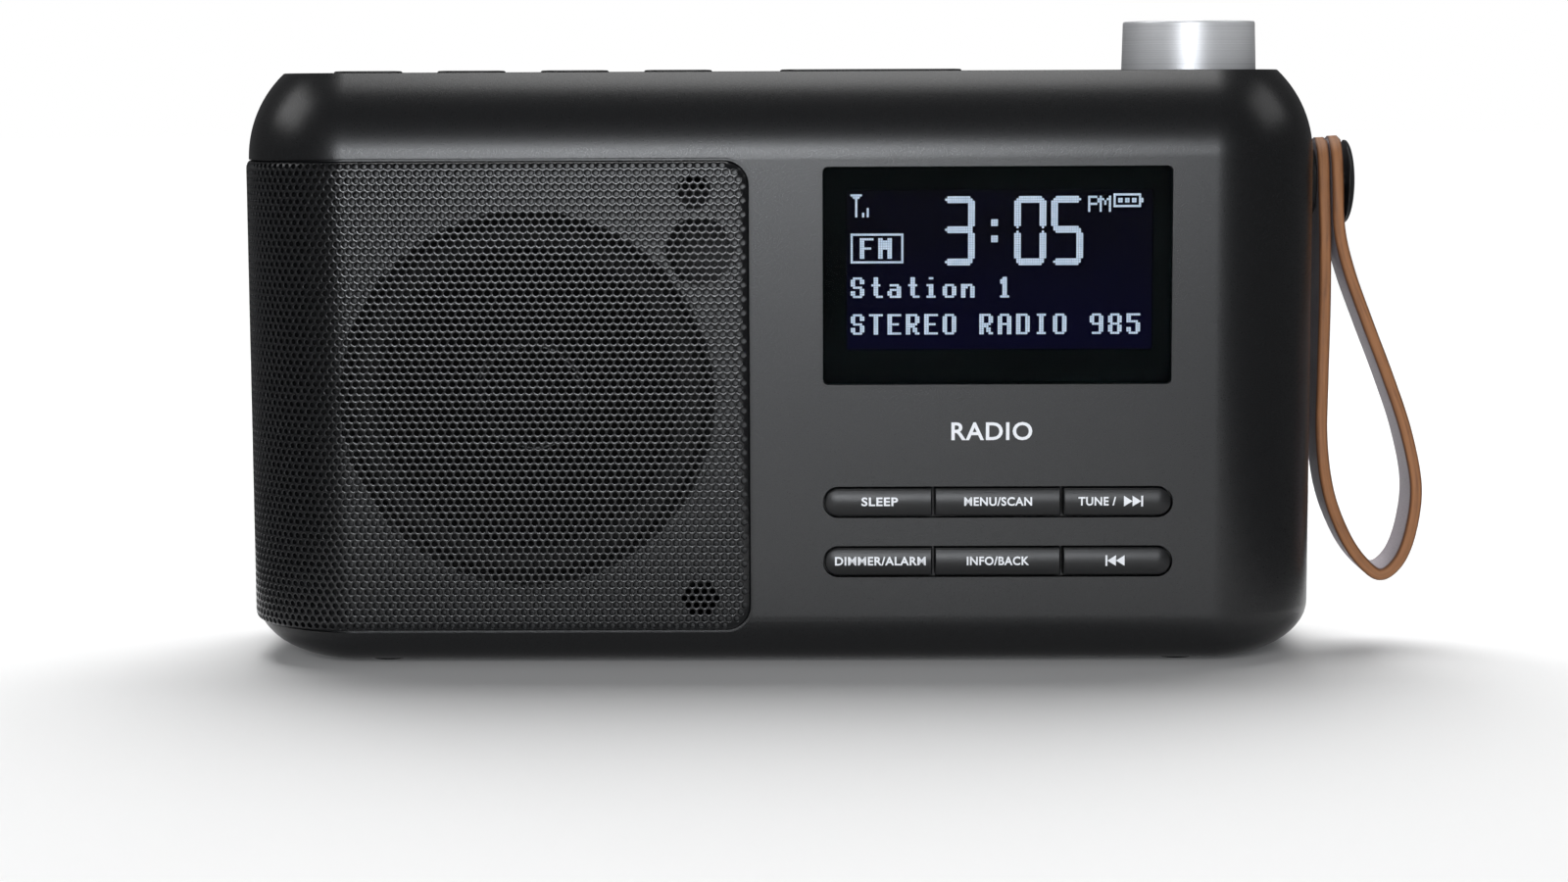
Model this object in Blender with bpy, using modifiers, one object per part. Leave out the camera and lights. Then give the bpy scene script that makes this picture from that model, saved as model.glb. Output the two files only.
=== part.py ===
"""A portable digital radio: a black moulded case in two shells, a wrap-round speaker grille, a display,
two rows of keys, a volume knob, a folding rear aerial and a leather wrist loop on the right side.

Metres, +Z up. The front faces -Y and the feet stand on Z = 0. Sizes are laid out from the case's middle,
and the whole radio hangs from one empty that sets it over the middle of its box, wrist loop counted.
"""

import math

import bmesh
import bpy
from mathutils import Matrix, Vector

# ---- driving dimensions -----------------------------------------------------------------------------
BODY_W = 0.2020
BODY_D = 0.0580
BODY_BOTTOM = 0.0010
BODY_TOP = 0.1107
WALL = 0.0024
CORNER_R = 0.0205
CROWN_R = 0.0220
CROWN_Z = 0.0950
BASE_RISE = 0.0090
BASE_INSET_X = 0.0130
BASE_INSET_Y = 0.0065
PART_Y = 0.0130
GAP = 0.0003
SLACK = 0.00035

HALF_W = BODY_W / 2
HALF_D = BODY_D / 2
FRONT = -HALF_D
INNER_FRONT = FRONT + WALL
INNER_BACK = HALF_D - WALL

GRILLE_X = -0.0064
GRILLE_Z = (0.0079, 0.0936)
GRILLE_BACK_Y = 0.0040
GRILLE_PROUD = 0.0005
GRILLE_THICK = 0.0010
GRILLE_CORNER = 0.0050
GRILLE_MARGIN = 0.0006

SPEAKER_X = -0.0470
SPEAKER_Z = 0.0506
SPEAKER_HOLE_R = 0.0345
SPEAKER_FLANGE_Y = -0.0255

WINDOW = (0.0080, 0.0725, 0.0532, 0.0935)
LCD_VIEW = (0.0125, 0.0691, 0.0595, 0.0890)

KEY_ROW_X = (0.0079, 0.0730)
KEY_SPLITS_X = (0.0285, 0.0524)
KEY_ROW_H = 0.0059
KEY_ROWS = {0.03125: ("key_sleep", "key_menu", "key_tune_up"), 0.0201: ("key_dimmer", "key_info", "key_tune_down")}
KEY_PROUD = 0.0004
KEY_TRAVEL = 0.0008

TOP_ROW_Y = -0.0035
PRESET_W = 0.0130
PRESET_X = (-0.0789, -0.0591, -0.0393, -0.0195)
SNOOZE_X = (0.0, 0.0347)
TOP_BUTTON_D = 0.0070
TOP_BUTTON_PROUD = 0.00045
TOP_BUTTON_TRAVEL = 0.0005

KNOB_X = 0.0780
KNOB_R = 0.01275
KNOB_TOP_R = 0.01250
KNOB_H = 0.0101

BOSS_X = 0.0820
BOSS_Z = (0.0180, 0.0780)
BOSS_R = 0.0043

DOOR = (-0.0560, 0.0560, 0.0151, 0.0489)
DOOR_CORNER = 0.0030

NOTCH_Y = 0.0206
NOTCH_Z = 0.0942
AERIAL = Vector((0.0840, 0.0250, 0.0986))
AERIAL_RADII = (0.0032, 0.0026, 0.0020, 0.0014)
AERIAL_WALL = 0.0003

STUD_Z = 0.0896
STRAP_W = 0.0125
STRAP_THICK = 0.0023

FOOT_R = 0.0038
FOOT_PLACES = {"foot_front_left": (-0.075, -0.016), "foot_front_right": (0.075, -0.016),
               "foot_rear_left": (-0.075, 0.0180), "foot_rear_right": (0.075, 0.0180)}

# The middle of the whole radio's box, wrist loop and grille counted, lies this far right of the case's.
BOX_MIDDLE_X = 0.0111

FACE_FRONT = (math.pi / 2, 0, 0)
FACE_BACK = (-math.pi / 2, 0, 0)
FACE_RIGHT = (0, math.pi / 2, 0)
FACE_LEFT = (0, -math.pi / 2, 0)

# Name: (red, green, blue, metallic, roughness).
FINISHES = {
    "case_black": (0.030, 0.030, 0.032, 0.0, 0.55),
    "grille_black": (0.012, 0.012, 0.014, 0.6, 0.35),
    "gloss_black": (0.004, 0.004, 0.005, 0.0, 0.06),
    "inner_plastic": (0.020, 0.020, 0.020, 0.0, 0.60),
    "lcd_blue": (0.004, 0.010, 0.090, 0.0, 0.10),
    "board_green": (0.010, 0.090, 0.035, 0.0, 0.45),
    "silver": (0.620, 0.620, 0.610, 1.0, 0.30),
    "steel": (0.520, 0.520, 0.530, 1.0, 0.28),
    "chrome": (0.750, 0.750, 0.760, 1.0, 0.08),
    "paper_cone": (0.018, 0.017, 0.016, 0.0, 0.85),
    "rubber": (0.010, 0.010, 0.010, 0.0, 0.80),
    "leather_tan": (0.260, 0.115, 0.050, 0.0, 0.60),
    "cell_wrap": (0.030, 0.060, 0.130, 0.0, 0.30),
    "silicone_grey": (0.300, 0.300, 0.300, 0.0, 0.70),
}


# ---- scene, materials and placing -------------------------------------------------------------------
for old in list(bpy.data.objects):
    bpy.data.objects.remove(old, do_unlink=True)

radio = bpy.data.collections.new("portable_radio")
cutters = bpy.data.collections.new("cutters")
cutters.hide_render = True
for collection in (radio, cutters):
    bpy.context.scene.collection.children.link(collection)

middle = bpy.data.objects.new("radio_middle", None)
middle.location = (-BOX_MIDDLE_X, 0, 0)
radio.objects.link(middle)


def finish(name):
    material = bpy.data.materials.get(name)
    if material is None:
        red, green, blue, metallic, roughness = FINISHES[name]
        material = bpy.data.materials.new(name)
        material.use_nodes = True
        shader = material.node_tree.nodes["Principled BSDF"]
        shader.inputs["Base Color"].default_value = (red, green, blue, 1)
        shader.inputs["Metallic"].default_value = metallic
        shader.inputs["Roughness"].default_value = roughness
    return material


def place(name, bm, look=None, at=(0, 0, 0), turn=(0, 0, 0)):
    """Makes a sub-part in the finish called look, or a hidden cutter when look is None."""
    bmesh.ops.recalc_face_normals(bm, faces=bm.faces[:])
    mesh = bpy.data.meshes.new(name)
    bm.to_mesh(mesh)
    bm.free()
    item = bpy.data.objects.new(name, mesh)
    item.location = at
    item.rotation_euler = turn
    item.parent = middle
    if look is None:
        cutters.objects.link(item)
        item.hide_render = True
        item.display_type = "WIRE"
    else:
        radio.objects.link(item)
        mesh.materials.append(finish(look))
    return item


def boolean(item, other, operation="DIFFERENCE"):
    modifier = item.modifiers.new(other.name, "BOOLEAN")
    modifier.operation = operation
    modifier.object = other
    return item


# ---- shapes -----------------------------------------------------------------------------------------
def box(low, high):
    """A box between two corners."""
    low, high = Vector(low), Vector(high)
    bm = bmesh.new()
    bmesh.ops.create_cube(bm, size=1.0)
    bmesh.ops.scale(bm, vec=high - low, verts=bm.verts)
    bmesh.ops.translate(bm, vec=(low + high) / 2, verts=bm.verts)
    return bm


def rod(radius, low, high, segments=24, radius_high=None):
    """A round bar along Z from low to high."""
    bm = bmesh.new()
    bmesh.ops.create_cone(bm, cap_ends=True, segments=segments, radius1=radius,
                          radius2=radius if radius_high is None else radius_high, depth=high - low)
    bmesh.ops.translate(bm, vec=(0, 0, (low + high) / 2), verts=bm.verts)
    return bm


def rounded(x0, x1, z0, z1, radii, steps=5):
    """Points (x, z) round a rectangle with its own radius at each corner: top right, top left, and on."""
    points = []
    corners = ((x1, z1, 1, 1), (x0, z1, -1, 1), (x0, z0, -1, -1), (x1, z0, 1, -1))
    for turn, ((x, z, sign_x, sign_z), radius) in enumerate(zip(corners, radii)):
        for step in range(steps + 1):
            angle = math.pi / 2 * (turn + step / steps)
            points.append((x - sign_x * radius + radius * math.cos(angle),
                           z - sign_z * radius + radius * math.sin(angle)))
    return points


def plate(outline, y0, y1):
    """A flat outline in X and Z, extruded along Y from y0 to y1."""
    bm = bmesh.new()
    face = bm.faces.new([bm.verts.new((x, y0, z)) for x, z in outline])
    grown = bmesh.ops.extrude_face_region(bm, geom=[face])["geom"]
    bmesh.ops.translate(bm, vec=(0, y1 - y0, 0), verts=[v for v in grown if isinstance(v, bmesh.types.BMVert)])
    return bm


def loft(rings):
    """A closed body through rings of points, each ring having the same number of them."""
    bm = bmesh.new()
    loops = [[bm.verts.new(point) for point in ring] for ring in rings]
    count = len(loops[0])
    for lower, upper in zip(loops, loops[1:]):
        for i in range(count):
            j = (i + 1) % count
            bm.faces.new((lower[i], lower[j], upper[j], upper[i]))
    bm.faces.new(reversed(loops[0]))
    bm.faces.new(loops[-1])
    return bm


def turned(name, profile, look=None, at=(0, 0, 0), turn=(0, 0, 0), steps=24, ring=False):
    """A turned body about its own Z. The profile (r, z) runs from the top down its outer side."""
    mesh = bpy.data.meshes.new(name)
    count = len(profile)
    edges = [(i, (i + 1) % count) for i in range(count if ring else count - 1)]
    mesh.from_pydata([(r, 0, z) for r, z in profile], edges, [])
    item = bpy.data.objects.new(name, mesh)
    item.location = at
    item.rotation_euler = turn
    item.parent = middle
    screw = item.modifiers.new("Turn", "SCREW")
    screw.axis = "Z"
    screw.steps = steps
    screw.render_steps = steps
    screw.use_merge_vertices = True
    screw.merge_threshold = 0.00001
    screw.use_smooth_shade = True
    if look is None:
        cutters.objects.link(item)
        item.hide_render = True
        item.display_type = "WIRE"
    else:
        radio.objects.link(item)
        mesh.materials.append(finish(look))
    return item


# ---- the case's outer form --------------------------------------------------------------------------
def case_outline(z, inset_x, inset_y, steps=6):
    """The case's plan at one height: a rectangle whose corners tighten as the walls draw in."""
    radius_x, radius_y = CORNER_R - inset_x, CORNER_R - inset_y
    points = []
    for turn, (sign_x, sign_y) in enumerate(((1, 1), (-1, 1), (-1, -1), (1, -1))):
        for step in range(steps + 1):
            angle = math.pi / 2 * (turn + step / steps)
            points.append((sign_x * (HALF_W - CORNER_R) + radius_x * math.cos(angle),
                           sign_y * (HALF_D - CORNER_R) + radius_y * math.sin(angle), z))
    return points


def case_form(skin, base_steps=4, crown_steps=5):
    """The case's form, skin inside its outer face: a rolled base, upright walls and a crowned top edge."""
    rings = []
    for step in range(base_steps + 1):
        angle = math.pi / 2 * step / base_steps
        draw = 1 - math.sin(angle)
        rings.append(case_outline(BODY_BOTTOM + skin + (BASE_RISE - skin) * (1 - math.cos(angle)),
                                  skin + (BASE_INSET_X - skin) * draw, skin + (BASE_INSET_Y - skin) * draw))
    sweep = math.asin((BODY_TOP - CROWN_Z - skin) / (CROWN_R - skin))
    for step in range(crown_steps + 1):
        angle = sweep * step / crown_steps
        inset = skin + (CROWN_R - skin) * (1 - math.cos(angle))
        rings.append(case_outline(CROWN_Z + (CROWN_R - skin) * math.sin(angle), inset, inset))
    return loft(rings)


def wrap_point(run, stand):
    """A point that lies run along the case's plan from the grille's right edge, round the front left
    corner and back along the left side, and stands off the outer face."""
    straight = HALF_W - CORNER_R + GRILLE_X
    quarter = CORNER_R * math.pi / 2
    if run <= straight:
        return GRILLE_X - run, FRONT - stand
    if run <= straight + quarter:
        angle = (run - straight) / CORNER_R
        reach = CORNER_R + stand
        return -(HALF_W - CORNER_R) - reach * math.sin(angle), -(HALF_D - CORNER_R) - reach * math.cos(angle)
    return -HALF_W - stand, -(HALF_D - CORNER_R) + run - straight - quarter


def wrapped_sheet(margin, inner, outer, corner_steps=4):
    """A sheet bent round the case's left corner, between two stand-offs, and grown by margin all round."""
    straight = HALF_W - CORNER_R + GRILLE_X
    quarter = CORNER_R * math.pi / 2
    start, end = -margin, straight + quarter + GRILLE_BACK_Y + HALF_D - CORNER_R + margin
    low, high = GRILLE_Z[0] - margin, GRILLE_Z[1] + margin
    radius = GRILLE_CORNER + margin
    arcs = [math.pi / 2 * step / corner_steps for step in range(corner_steps + 1)]
    columns = [(start + radius * (1 - math.cos(a)), radius * (1 - math.sin(a))) for a in arcs]
    columns += [(straight + quarter * step / 8, 0) for step in range(9)]
    columns += [(end - radius * (1 - math.cos(a)), radius * (1 - math.sin(a))) for a in reversed(arcs)]
    rings = []
    for run, cut in columns:
        near, far = wrap_point(run, inner), wrap_point(run, outer)
        rings.append([(*near, low + cut), (*far, low + cut), (*far, high - cut), (*near, high - cut)])
    return loft(rings)


def along_y(name, radius, x, z, y0, y1, segments=24):
    """A hidden round cutter along Y."""
    return place(name, rod(radius, y0, y1, segments), at=(x, 0, z), turn=FACE_BACK)


# ---- shells -----------------------------------------------------------------------------------------
BEYOND = 0.06


def case_shells():
    cavity = place("case_cavity", case_form(WALL))
    for side in (-1, 1):
        for z in BOSS_Z:
            tag = f"boss_{'right' if side > 0 else 'left'}_{'low' if z == BOSS_Z[0] else 'high'}"
            boolean(cavity, along_y(f"{tag}_post", BOSS_R, side * BOSS_X, z, -BEYOND, BEYOND, 16))
            ends = sorted((side * (BOSS_X + 0.003), side * (HALF_W + 0.004)))
            rib = place(f"{tag}_rib", box((ends[0], -BEYOND, z - 0.0010), (ends[1], BEYOND, z + 0.0010)))
            boolean(cavity, rib)
    notch_wall = place("aerial_notch_wall", box((-BEYOND * 2, NOTCH_Y - 0.0020, NOTCH_Z - 0.0020),
                                                (BEYOND * 2, BEYOND, BEYOND * 3)))
    boolean(cavity, notch_wall)

    front_shell = place("front_shell", case_form(0), "case_black")
    rear_shell = place("rear_shell", case_form(0), "case_black")
    big = BODY_W
    boolean(front_shell, place("behind_parting", box((-big, PART_Y, -big), (big, big, big))))
    boolean(rear_shell, place("before_parting", box((-big, -big, -big), (big, PART_Y + GAP, big))))
    for shell in (front_shell, rear_shell):
        boolean(shell, cavity)
    return front_shell, rear_shell


def cut_front(shell):
    boolean(shell, place("grille_recess", wrapped_sheet(GRILLE_MARGIN, GRILLE_PROUD - GRILLE_THICK - GAP, 0.0030)))
    boolean(shell, along_y("speaker_hole", SPEAKER_HOLE_R, SPEAKER_X, SPEAKER_Z, -0.035, -0.020, 48))
    x0, x1, z0, z1 = WINDOW
    boolean(shell, place("window_hole", plate(rounded(x0, x1, z0, z1, (0.0010,) * 4, 2), -0.035, -0.020)))
    for z in KEY_ROWS:
        half = KEY_ROW_H / 2
        slot = rounded(*KEY_ROW_X, z - half, z + half, (half,) * 4, 4)
        boolean(shell, place(f"key_slot_{round(z * 1000)}", plate(slot, -0.035, -0.020)))
    for name, low, high in top_buttons():
        half = TOP_BUTTON_D / 2 + SLACK
        outline = rounded(low - SLACK, high + SLACK, TOP_ROW_Y - half, TOP_ROW_Y + half, (half - 0.0003,) * 4, 3)
        hole = place(f"{name}_hole", plate([(x, -y) for x, y in outline], 0.100, 0.120), turn=(math.pi / 2, 0, 0))
        boolean(shell, hole)
    for radius, low, name in ((0.0045, 0.100, "encoder_hole"), (0.0134, BODY_TOP - 0.0006, "knob_recess")):
        boolean(shell, place(name, rod(radius, low, 0.125, 32), at=(KNOB_X, TOP_ROW_Y, 0)))
    boolean(shell, place("stud_hole", rod(0.0025, 0.090, 0.110, 16), at=(0, 0, STUD_Z), turn=FACE_RIGHT))
    for side in (-1, 1):
        for z in BOSS_Z:
            boolean(shell, along_y(f"pilot_{side + 1}_{round(z * 1000)}", 0.0016, side * BOSS_X, z, 0.0, 0.020, 12))
    for name in ("foot_front_left", "foot_front_right"):
        boolean(shell, foot_pocket(name))


def cut_rear(shell):
    notch = box((-BEYOND * 2, NOTCH_Y, NOTCH_Z), (BEYOND * 2, BEYOND, BEYOND * 3))
    boolean(shell, place("aerial_notch", notch))
    boolean(shell, along_y("aerial_base_hole", 0.0028, AERIAL.x, AERIAL.z, 0.010, 0.030, 16))
    x0, x1, z0, z1 = DOOR
    outline = rounded(x0 - GAP, x1 + GAP, z0 - GAP, z1 + GAP, (DOOR_CORNER,) * 4, 3)
    boolean(shell, place("door_hole", plate(outline, 0.0255, 0.035)))
    for side in (-1, 1):
        for z in BOSS_Z:
            tag = f"{side + 1}_{round(z * 1000)}"
            boolean(shell, along_y(f"screw_way_{tag}", 0.0016, side * BOSS_X, z, 0.010, 0.021, 12))
            boolean(shell, along_y(f"screw_head_way_{tag}", 0.0030, side * BOSS_X, z, 0.0180, 0.040, 16))
    for name, (x, z, radius) in SOCKETS.items():
        boolean(shell, along_y(f"{name}_hole", radius + 0.0004, x, z, 0.024, 0.035, 24))
    for name in ("foot_rear_left", "foot_rear_right"):
        boolean(shell, foot_pocket(name))


def foot_pocket(name):
    x, y = FOOT_PLACES[name]
    return place(f"{name}_pocket", rod(FOOT_R + GAP, -0.004, 0.0025, 24), at=(x, y, 0))


# ---- speaker ----------------------------------------------------------------------------------------
def speaker():
    """The drive unit. Each profile's z is 0 at the flange's front and positive towards the front."""
    at = (SPEAKER_X, SPEAKER_FLANGE_Y, SPEAKER_Z)

    def part(name, profile, look, steps=32, ring=True):
        return turned(name, profile, look, at, FACE_FRONT, steps, ring)

    mm = 0.001
    part("speaker_gasket", [(34.8 * mm, 0.8 * mm), (35.8 * mm, 0.8 * mm), (35.8 * mm, 0.3 * mm),
                            (34.8 * mm, 0.3 * mm)], "rubber")
    basket = part("speaker_basket", [(33.8 * mm, 0), (37.2 * mm, 0), (37.2 * mm, -1.2 * mm), (34.6 * mm, -1.2 * mm),
                                     (20.6 * mm, -17.8 * mm), (12.5 * mm, -17.8 * mm), (12.5 * mm, -17.0 * mm),
                                     (20.0 * mm, -17.0 * mm), (33.8 * mm, -1.4 * mm)], "steel")
    for turn in range(2):
        window = place(f"basket_window_{turn}", box((-0.040, -0.008, -0.0145), (0.040, 0.008, -0.0045)), at=at,
                       turn=(math.pi / 2, turn * math.pi / 2 + math.pi / 4, 0))
        boolean(basket, window)
    arch = [math.pi * (1 - step / 6) for step in range(7)]
    roll = [((30.5 + 3.0 * math.cos(a)) * mm, (-0.9 + 2.6 * math.sin(a)) * mm) for a in arch]
    roll += [((30.5 + 2.5 * math.cos(a)) * mm, (-0.9 + 2.1 * math.sin(a)) * mm) for a in reversed(arch)]
    part("speaker_surround", roll, "rubber")
    part("speaker_cone", [(26.0 * mm, -1.2 * mm), (27.2 * mm, -1.2 * mm), (27.2 * mm, -2.0 * mm),
                          (10.7 * mm, -10.4 * mm), (10.7 * mm, -9.6 * mm)], "paper_cone")
    part("speaker_dust_cap", [(0, -4.5 * mm), (3.2 * mm, -4.8 * mm), (6.2 * mm, -5.9 * mm), (9.0 * mm, -7.9 * mm),
                              (9.0 * mm, -8.6 * mm), (6.0 * mm, -6.7 * mm), (3.0 * mm, -5.5 * mm),
                              (0, -5.2 * mm)], "paper_cone", 24, False)
    part("voice_coil", [(9.3 * mm, -8.9 * mm), (10.3 * mm, -8.9 * mm), (10.3 * mm, -24.0 * mm),
                        (9.3 * mm, -24.0 * mm)], "steel", 24)
    part("speaker_magnet", [(0, -18.1 * mm), (8.9 * mm, -18.1 * mm), (8.9 * mm, -27.0 * mm), (10.8 * mm, -27.0 * mm),
                            (10.8 * mm, -18.1 * mm), (21.5 * mm, -18.1 * mm), (21.5 * mm, -30.5 * mm),
                            (0, -30.5 * mm)], "steel", 32, False)


# ---- display and keys -------------------------------------------------------------------------------
def display():
    x0, x1, z0, z1 = WINDOW
    pane = rounded(x0 + GAP, x1 - GAP, z0 + GAP, z1 - GAP, (0.0008,) * 4, 2)
    place("display_window", plate(pane, FRONT + 0.0008, FRONT + 0.0022), "gloss_black")
    frame = place("display_frame", plate(rounded(x0 - 0.003, x1 + 0.003, z0 - 0.003, z1 + 0.003, (0.001,) * 4, 1),
                                         INNER_FRONT + GAP, INNER_FRONT + 0.0016), "inner_plastic")
    x0, x1, z0, z1 = LCD_VIEW
    boolean(frame, place("lcd_view", box((x0, -0.035, z0), (x1, -0.020, z1))))
    grow = 0.0020
    glass_y = INNER_FRONT + 0.0016 + GAP
    place("lcd_glass", box((x0 - grow, glass_y, z0 - grow), (x1 + grow, glass_y + 0.0020, z1 + grow)), "lcd_blue")
    back_y = glass_y + 0.0020 + GAP
    place("lcd_backlight", box((x0 - grow, back_y, z0 - grow), (x1 + grow, back_y + 0.0025, z1 + grow)),
          "silicone_grey")
    board_y = back_y + 0.0025 + GAP
    place("control_board", box((0.0040, board_y, 0.0120), (0.0770, board_y + 0.0016, 0.0940)), "board_green")
    return board_y


def keys(board_y):
    back_y = INNER_FRONT + GAP + 0.0008
    stem_y = back_y + 0.0016
    mat = (0.0060, 0.0750, 0.0140, 0.0372)
    place("key_mat", box((mat[0], stem_y + KEY_TRAVEL + GAP, mat[2]), (mat[1], board_y - GAP, mat[3])),
          "silicone_grey")
    half = KEY_ROW_H / 2 - SLACK
    for z, names in KEY_ROWS.items():
        edges = [KEY_ROW_X[0] + SLACK, *KEY_SPLITS_X, KEY_ROW_X[1] - SLACK]
        for slot, name in enumerate(names):
            left = edges[slot] + (0 if slot == 0 else GAP / 2 + 0.00005)
            right = edges[slot + 1] - (0 if slot == 2 else GAP / 2 + 0.00005)
            end_left = half - 0.0001 if slot == 0 else 0.0004
            end_right = half - 0.0001 if slot == 2 else 0.0004
            radii = (end_right, end_left, end_left, end_right)
            centre = Vector(((left + right) / 2, FRONT, z))
            face = [(x - centre.x, y) for x, y in rounded(left, right, -half, half, radii, 3)]
            key = place(name, plate(face, -KEY_PROUD, back_y - FRONT), "case_black", at=centre)
            lip = box((left - centre.x, INNER_FRONT + GAP - FRONT, -half - 0.0012),
                      (right - centre.x, back_y - FRONT, half + 0.0012))
            boolean(key, place(f"{name}_lip", lip, at=centre), "UNION")
            stem = box((-0.0020, back_y - FRONT - 0.0004, -0.0015), (0.0020, stem_y - FRONT, 0.0015))
            boolean(key, place(f"{name}_stem", stem, at=centre), "UNION")


# ---- top --------------------------------------------------------------------------------------------
def top_buttons():
    """(name, low x, high x) of each button in the row on top."""
    rows = [(f"preset_button_{i + 1}", x - PRESET_W / 2, x + PRESET_W / 2) for i, x in enumerate(PRESET_X)]
    return rows + [("snooze_bar", *SNOOZE_X)]


def top_row():
    inner_top = BODY_TOP - WALL
    foot = inner_top - 0.0034
    for name, low, high in top_buttons():
        centre = Vector(((low + high) / 2, TOP_ROW_Y, BODY_TOP))
        half_x, half_y = (high - low) / 2, TOP_BUTTON_D / 2
        outline = rounded(-half_x, half_x, -half_y, half_y, (half_y - 0.0003,) * 4, 3)
        button = place(name, plate(outline, -TOP_BUTTON_PROUD, WALL + GAP + 0.0004), "case_black", at=centre,
                       turn=(-math.pi / 2, 0, 0))
        flange = box((-half_x - 0.0010, -half_y - 0.0010, -WALL - GAP - 0.0010),
                     (half_x + 0.0010, half_y + 0.0010, -WALL - GAP))
        boolean(button, place(f"{name}_flange", flange, at=centre), "UNION")
        stem = box((-0.0015, -0.0015, foot - BODY_TOP), (0.0015, 0.0015, -WALL - GAP - 0.0005))
        boolean(button, place(f"{name}_stem", stem, at=centre), "UNION")
    board_top = foot - TOP_BUTTON_TRAVEL - GAP
    place("top_board", box((-0.0860, -0.0110, board_top - 0.0016), (0.0400, 0.0040, board_top)), "board_green")


def volume():
    mm = 0.001
    at = (KNOB_X, TOP_ROW_Y, BODY_TOP)
    turned("volume_knob", [(0, KNOB_H), (KNOB_TOP_R - 0.4 * mm, KNOB_H), (KNOB_TOP_R, KNOB_H - 0.4 * mm),
                           (KNOB_R, 0.4 * mm), (11.2 * mm, 0.4 * mm), (11.0 * mm, 7.6 * mm), (5.4 * mm, 7.6 * mm),
                           (5.4 * mm, 3.6 * mm), (3.2 * mm, 3.6 * mm), (3.2 * mm, 8.4 * mm), (0, 8.4 * mm)],
           "silver", at, steps=48)
    turned("encoder_shaft", [(0, 8.1 * mm), (2.9 * mm, 8.1 * mm), (2.9 * mm, -6.0 * mm), (0, -6.0 * mm)], "steel",
           at)
    turned("encoder_plunger", [(0, -6.3 * mm), (2.9 * mm, -6.3 * mm), (2.9 * mm, -7.2 * mm), (0, -7.2 * mm)],
           "steel", at)
    body = place("encoder_body", box((-0.00625, -0.0067, -0.0103), (0.00625, 0.0067, -0.0040)), "steel", at=at)
    boolean(body, place("encoder_bushing", rod(4.2 * mm, -0.0045, 0.0029), at=at), "UNION")
    boolean(body, place("encoder_bore", rod(3.2 * mm, -0.0080, 0.0050), at=at))


# ---- inside and back --------------------------------------------------------------------------------
SOCKETS = {"dc_socket": (0.0660, 0.0330, 0.0040), "headphone_socket": (0.0790, 0.0330, 0.0033)}


def back_and_power():
    mm = 0.001
    place("main_board", box((-0.0050, 0.0060, 0.0140), (0.0770, 0.0076, 0.0920)), "board_green")
    place("tuner_module", box((0.0300, 0.0013, 0.0520), (0.0640, 0.0057, 0.0780)), "steel")
    x0, x1, z0, z1 = DOOR
    tray = place("battery_tray", box((x0, 0.0092, z0), (x1, INNER_BACK - GAP, z1)), "inner_plastic")
    boolean(tray, place("battery_space", box((x0 + 0.0015, 0.0107, z0 + 0.0015),
                                             (x1 - 0.0015, 0.040, z1 - 0.0015))))
    for row, z in enumerate((0.0243, 0.0397)):
        for column, x in enumerate((-0.0262, 0.0262)):
            name = f"cell_{row * 2 + column + 1}"
            turned(name, [(0, 25.2 * mm), (2.6 * mm, 25.2 * mm), (2.6 * mm, 24.2 * mm), (7.1 * mm, 24.2 * mm),
                          (7.1 * mm, -25.2 * mm), (0, -25.2 * mm)], "cell_wrap", (x, 0.0183, z),
                   FACE_RIGHT if row else FACE_LEFT, 16)
    place("battery_door", plate(rounded(x0, x1, z0, z1, (DOOR_CORNER - GAP,) * 4, 3), INNER_BACK, HALF_D),
          "case_black")
    tip_y = HALF_D - 0.0006
    for name, (x, z, radius) in SOCKETS.items():
        if name == "dc_socket":
            profile = [(0, -0.5 * mm), (0.9 * mm, -0.5 * mm), (0.9 * mm, -9.0 * mm), (2.8 * mm, -9.0 * mm),
                       (2.8 * mm, 0), (radius, 0), (radius, -18.0 * mm), (0, -18.0 * mm)]
        else:
            profile = [(0, -14.0 * mm), (1.8 * mm, -14.0 * mm), (1.8 * mm, 0), (radius, 0), (radius, -18.0 * mm),
                       (0, -18.0 * mm)]
        turned(name, profile, "inner_plastic", (x, tip_y, z), FACE_BACK, 24)
    for side in (-1, 1):
        for z in BOSS_Z:
            name = f"case_screw_{'left' if side < 0 else 'right'}_{'low' if z == BOSS_Z[0] else 'high'}"
            turned(name, [(0, 2.3 * mm), (2.0 * mm, 2.3 * mm), (2.7 * mm, 1.6 * mm), (2.7 * mm, 0.3 * mm),
                          (1.3 * mm, 0.3 * mm), (1.3 * mm, -14.0 * mm), (0, -14.0 * mm)], "steel",
                   (side * BOSS_X, 0.0180, z), FACE_BACK, 16)
    for name, (x, y) in FOOT_PLACES.items():
        turned(name, [(0, 2.2 * mm), (FOOT_R, 2.2 * mm), (FOOT_R, 0.4 * mm), (FOOT_R - 0.4 * mm, 0), (0, 0)],
               "rubber", (x, y, 0), steps=24)


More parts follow.
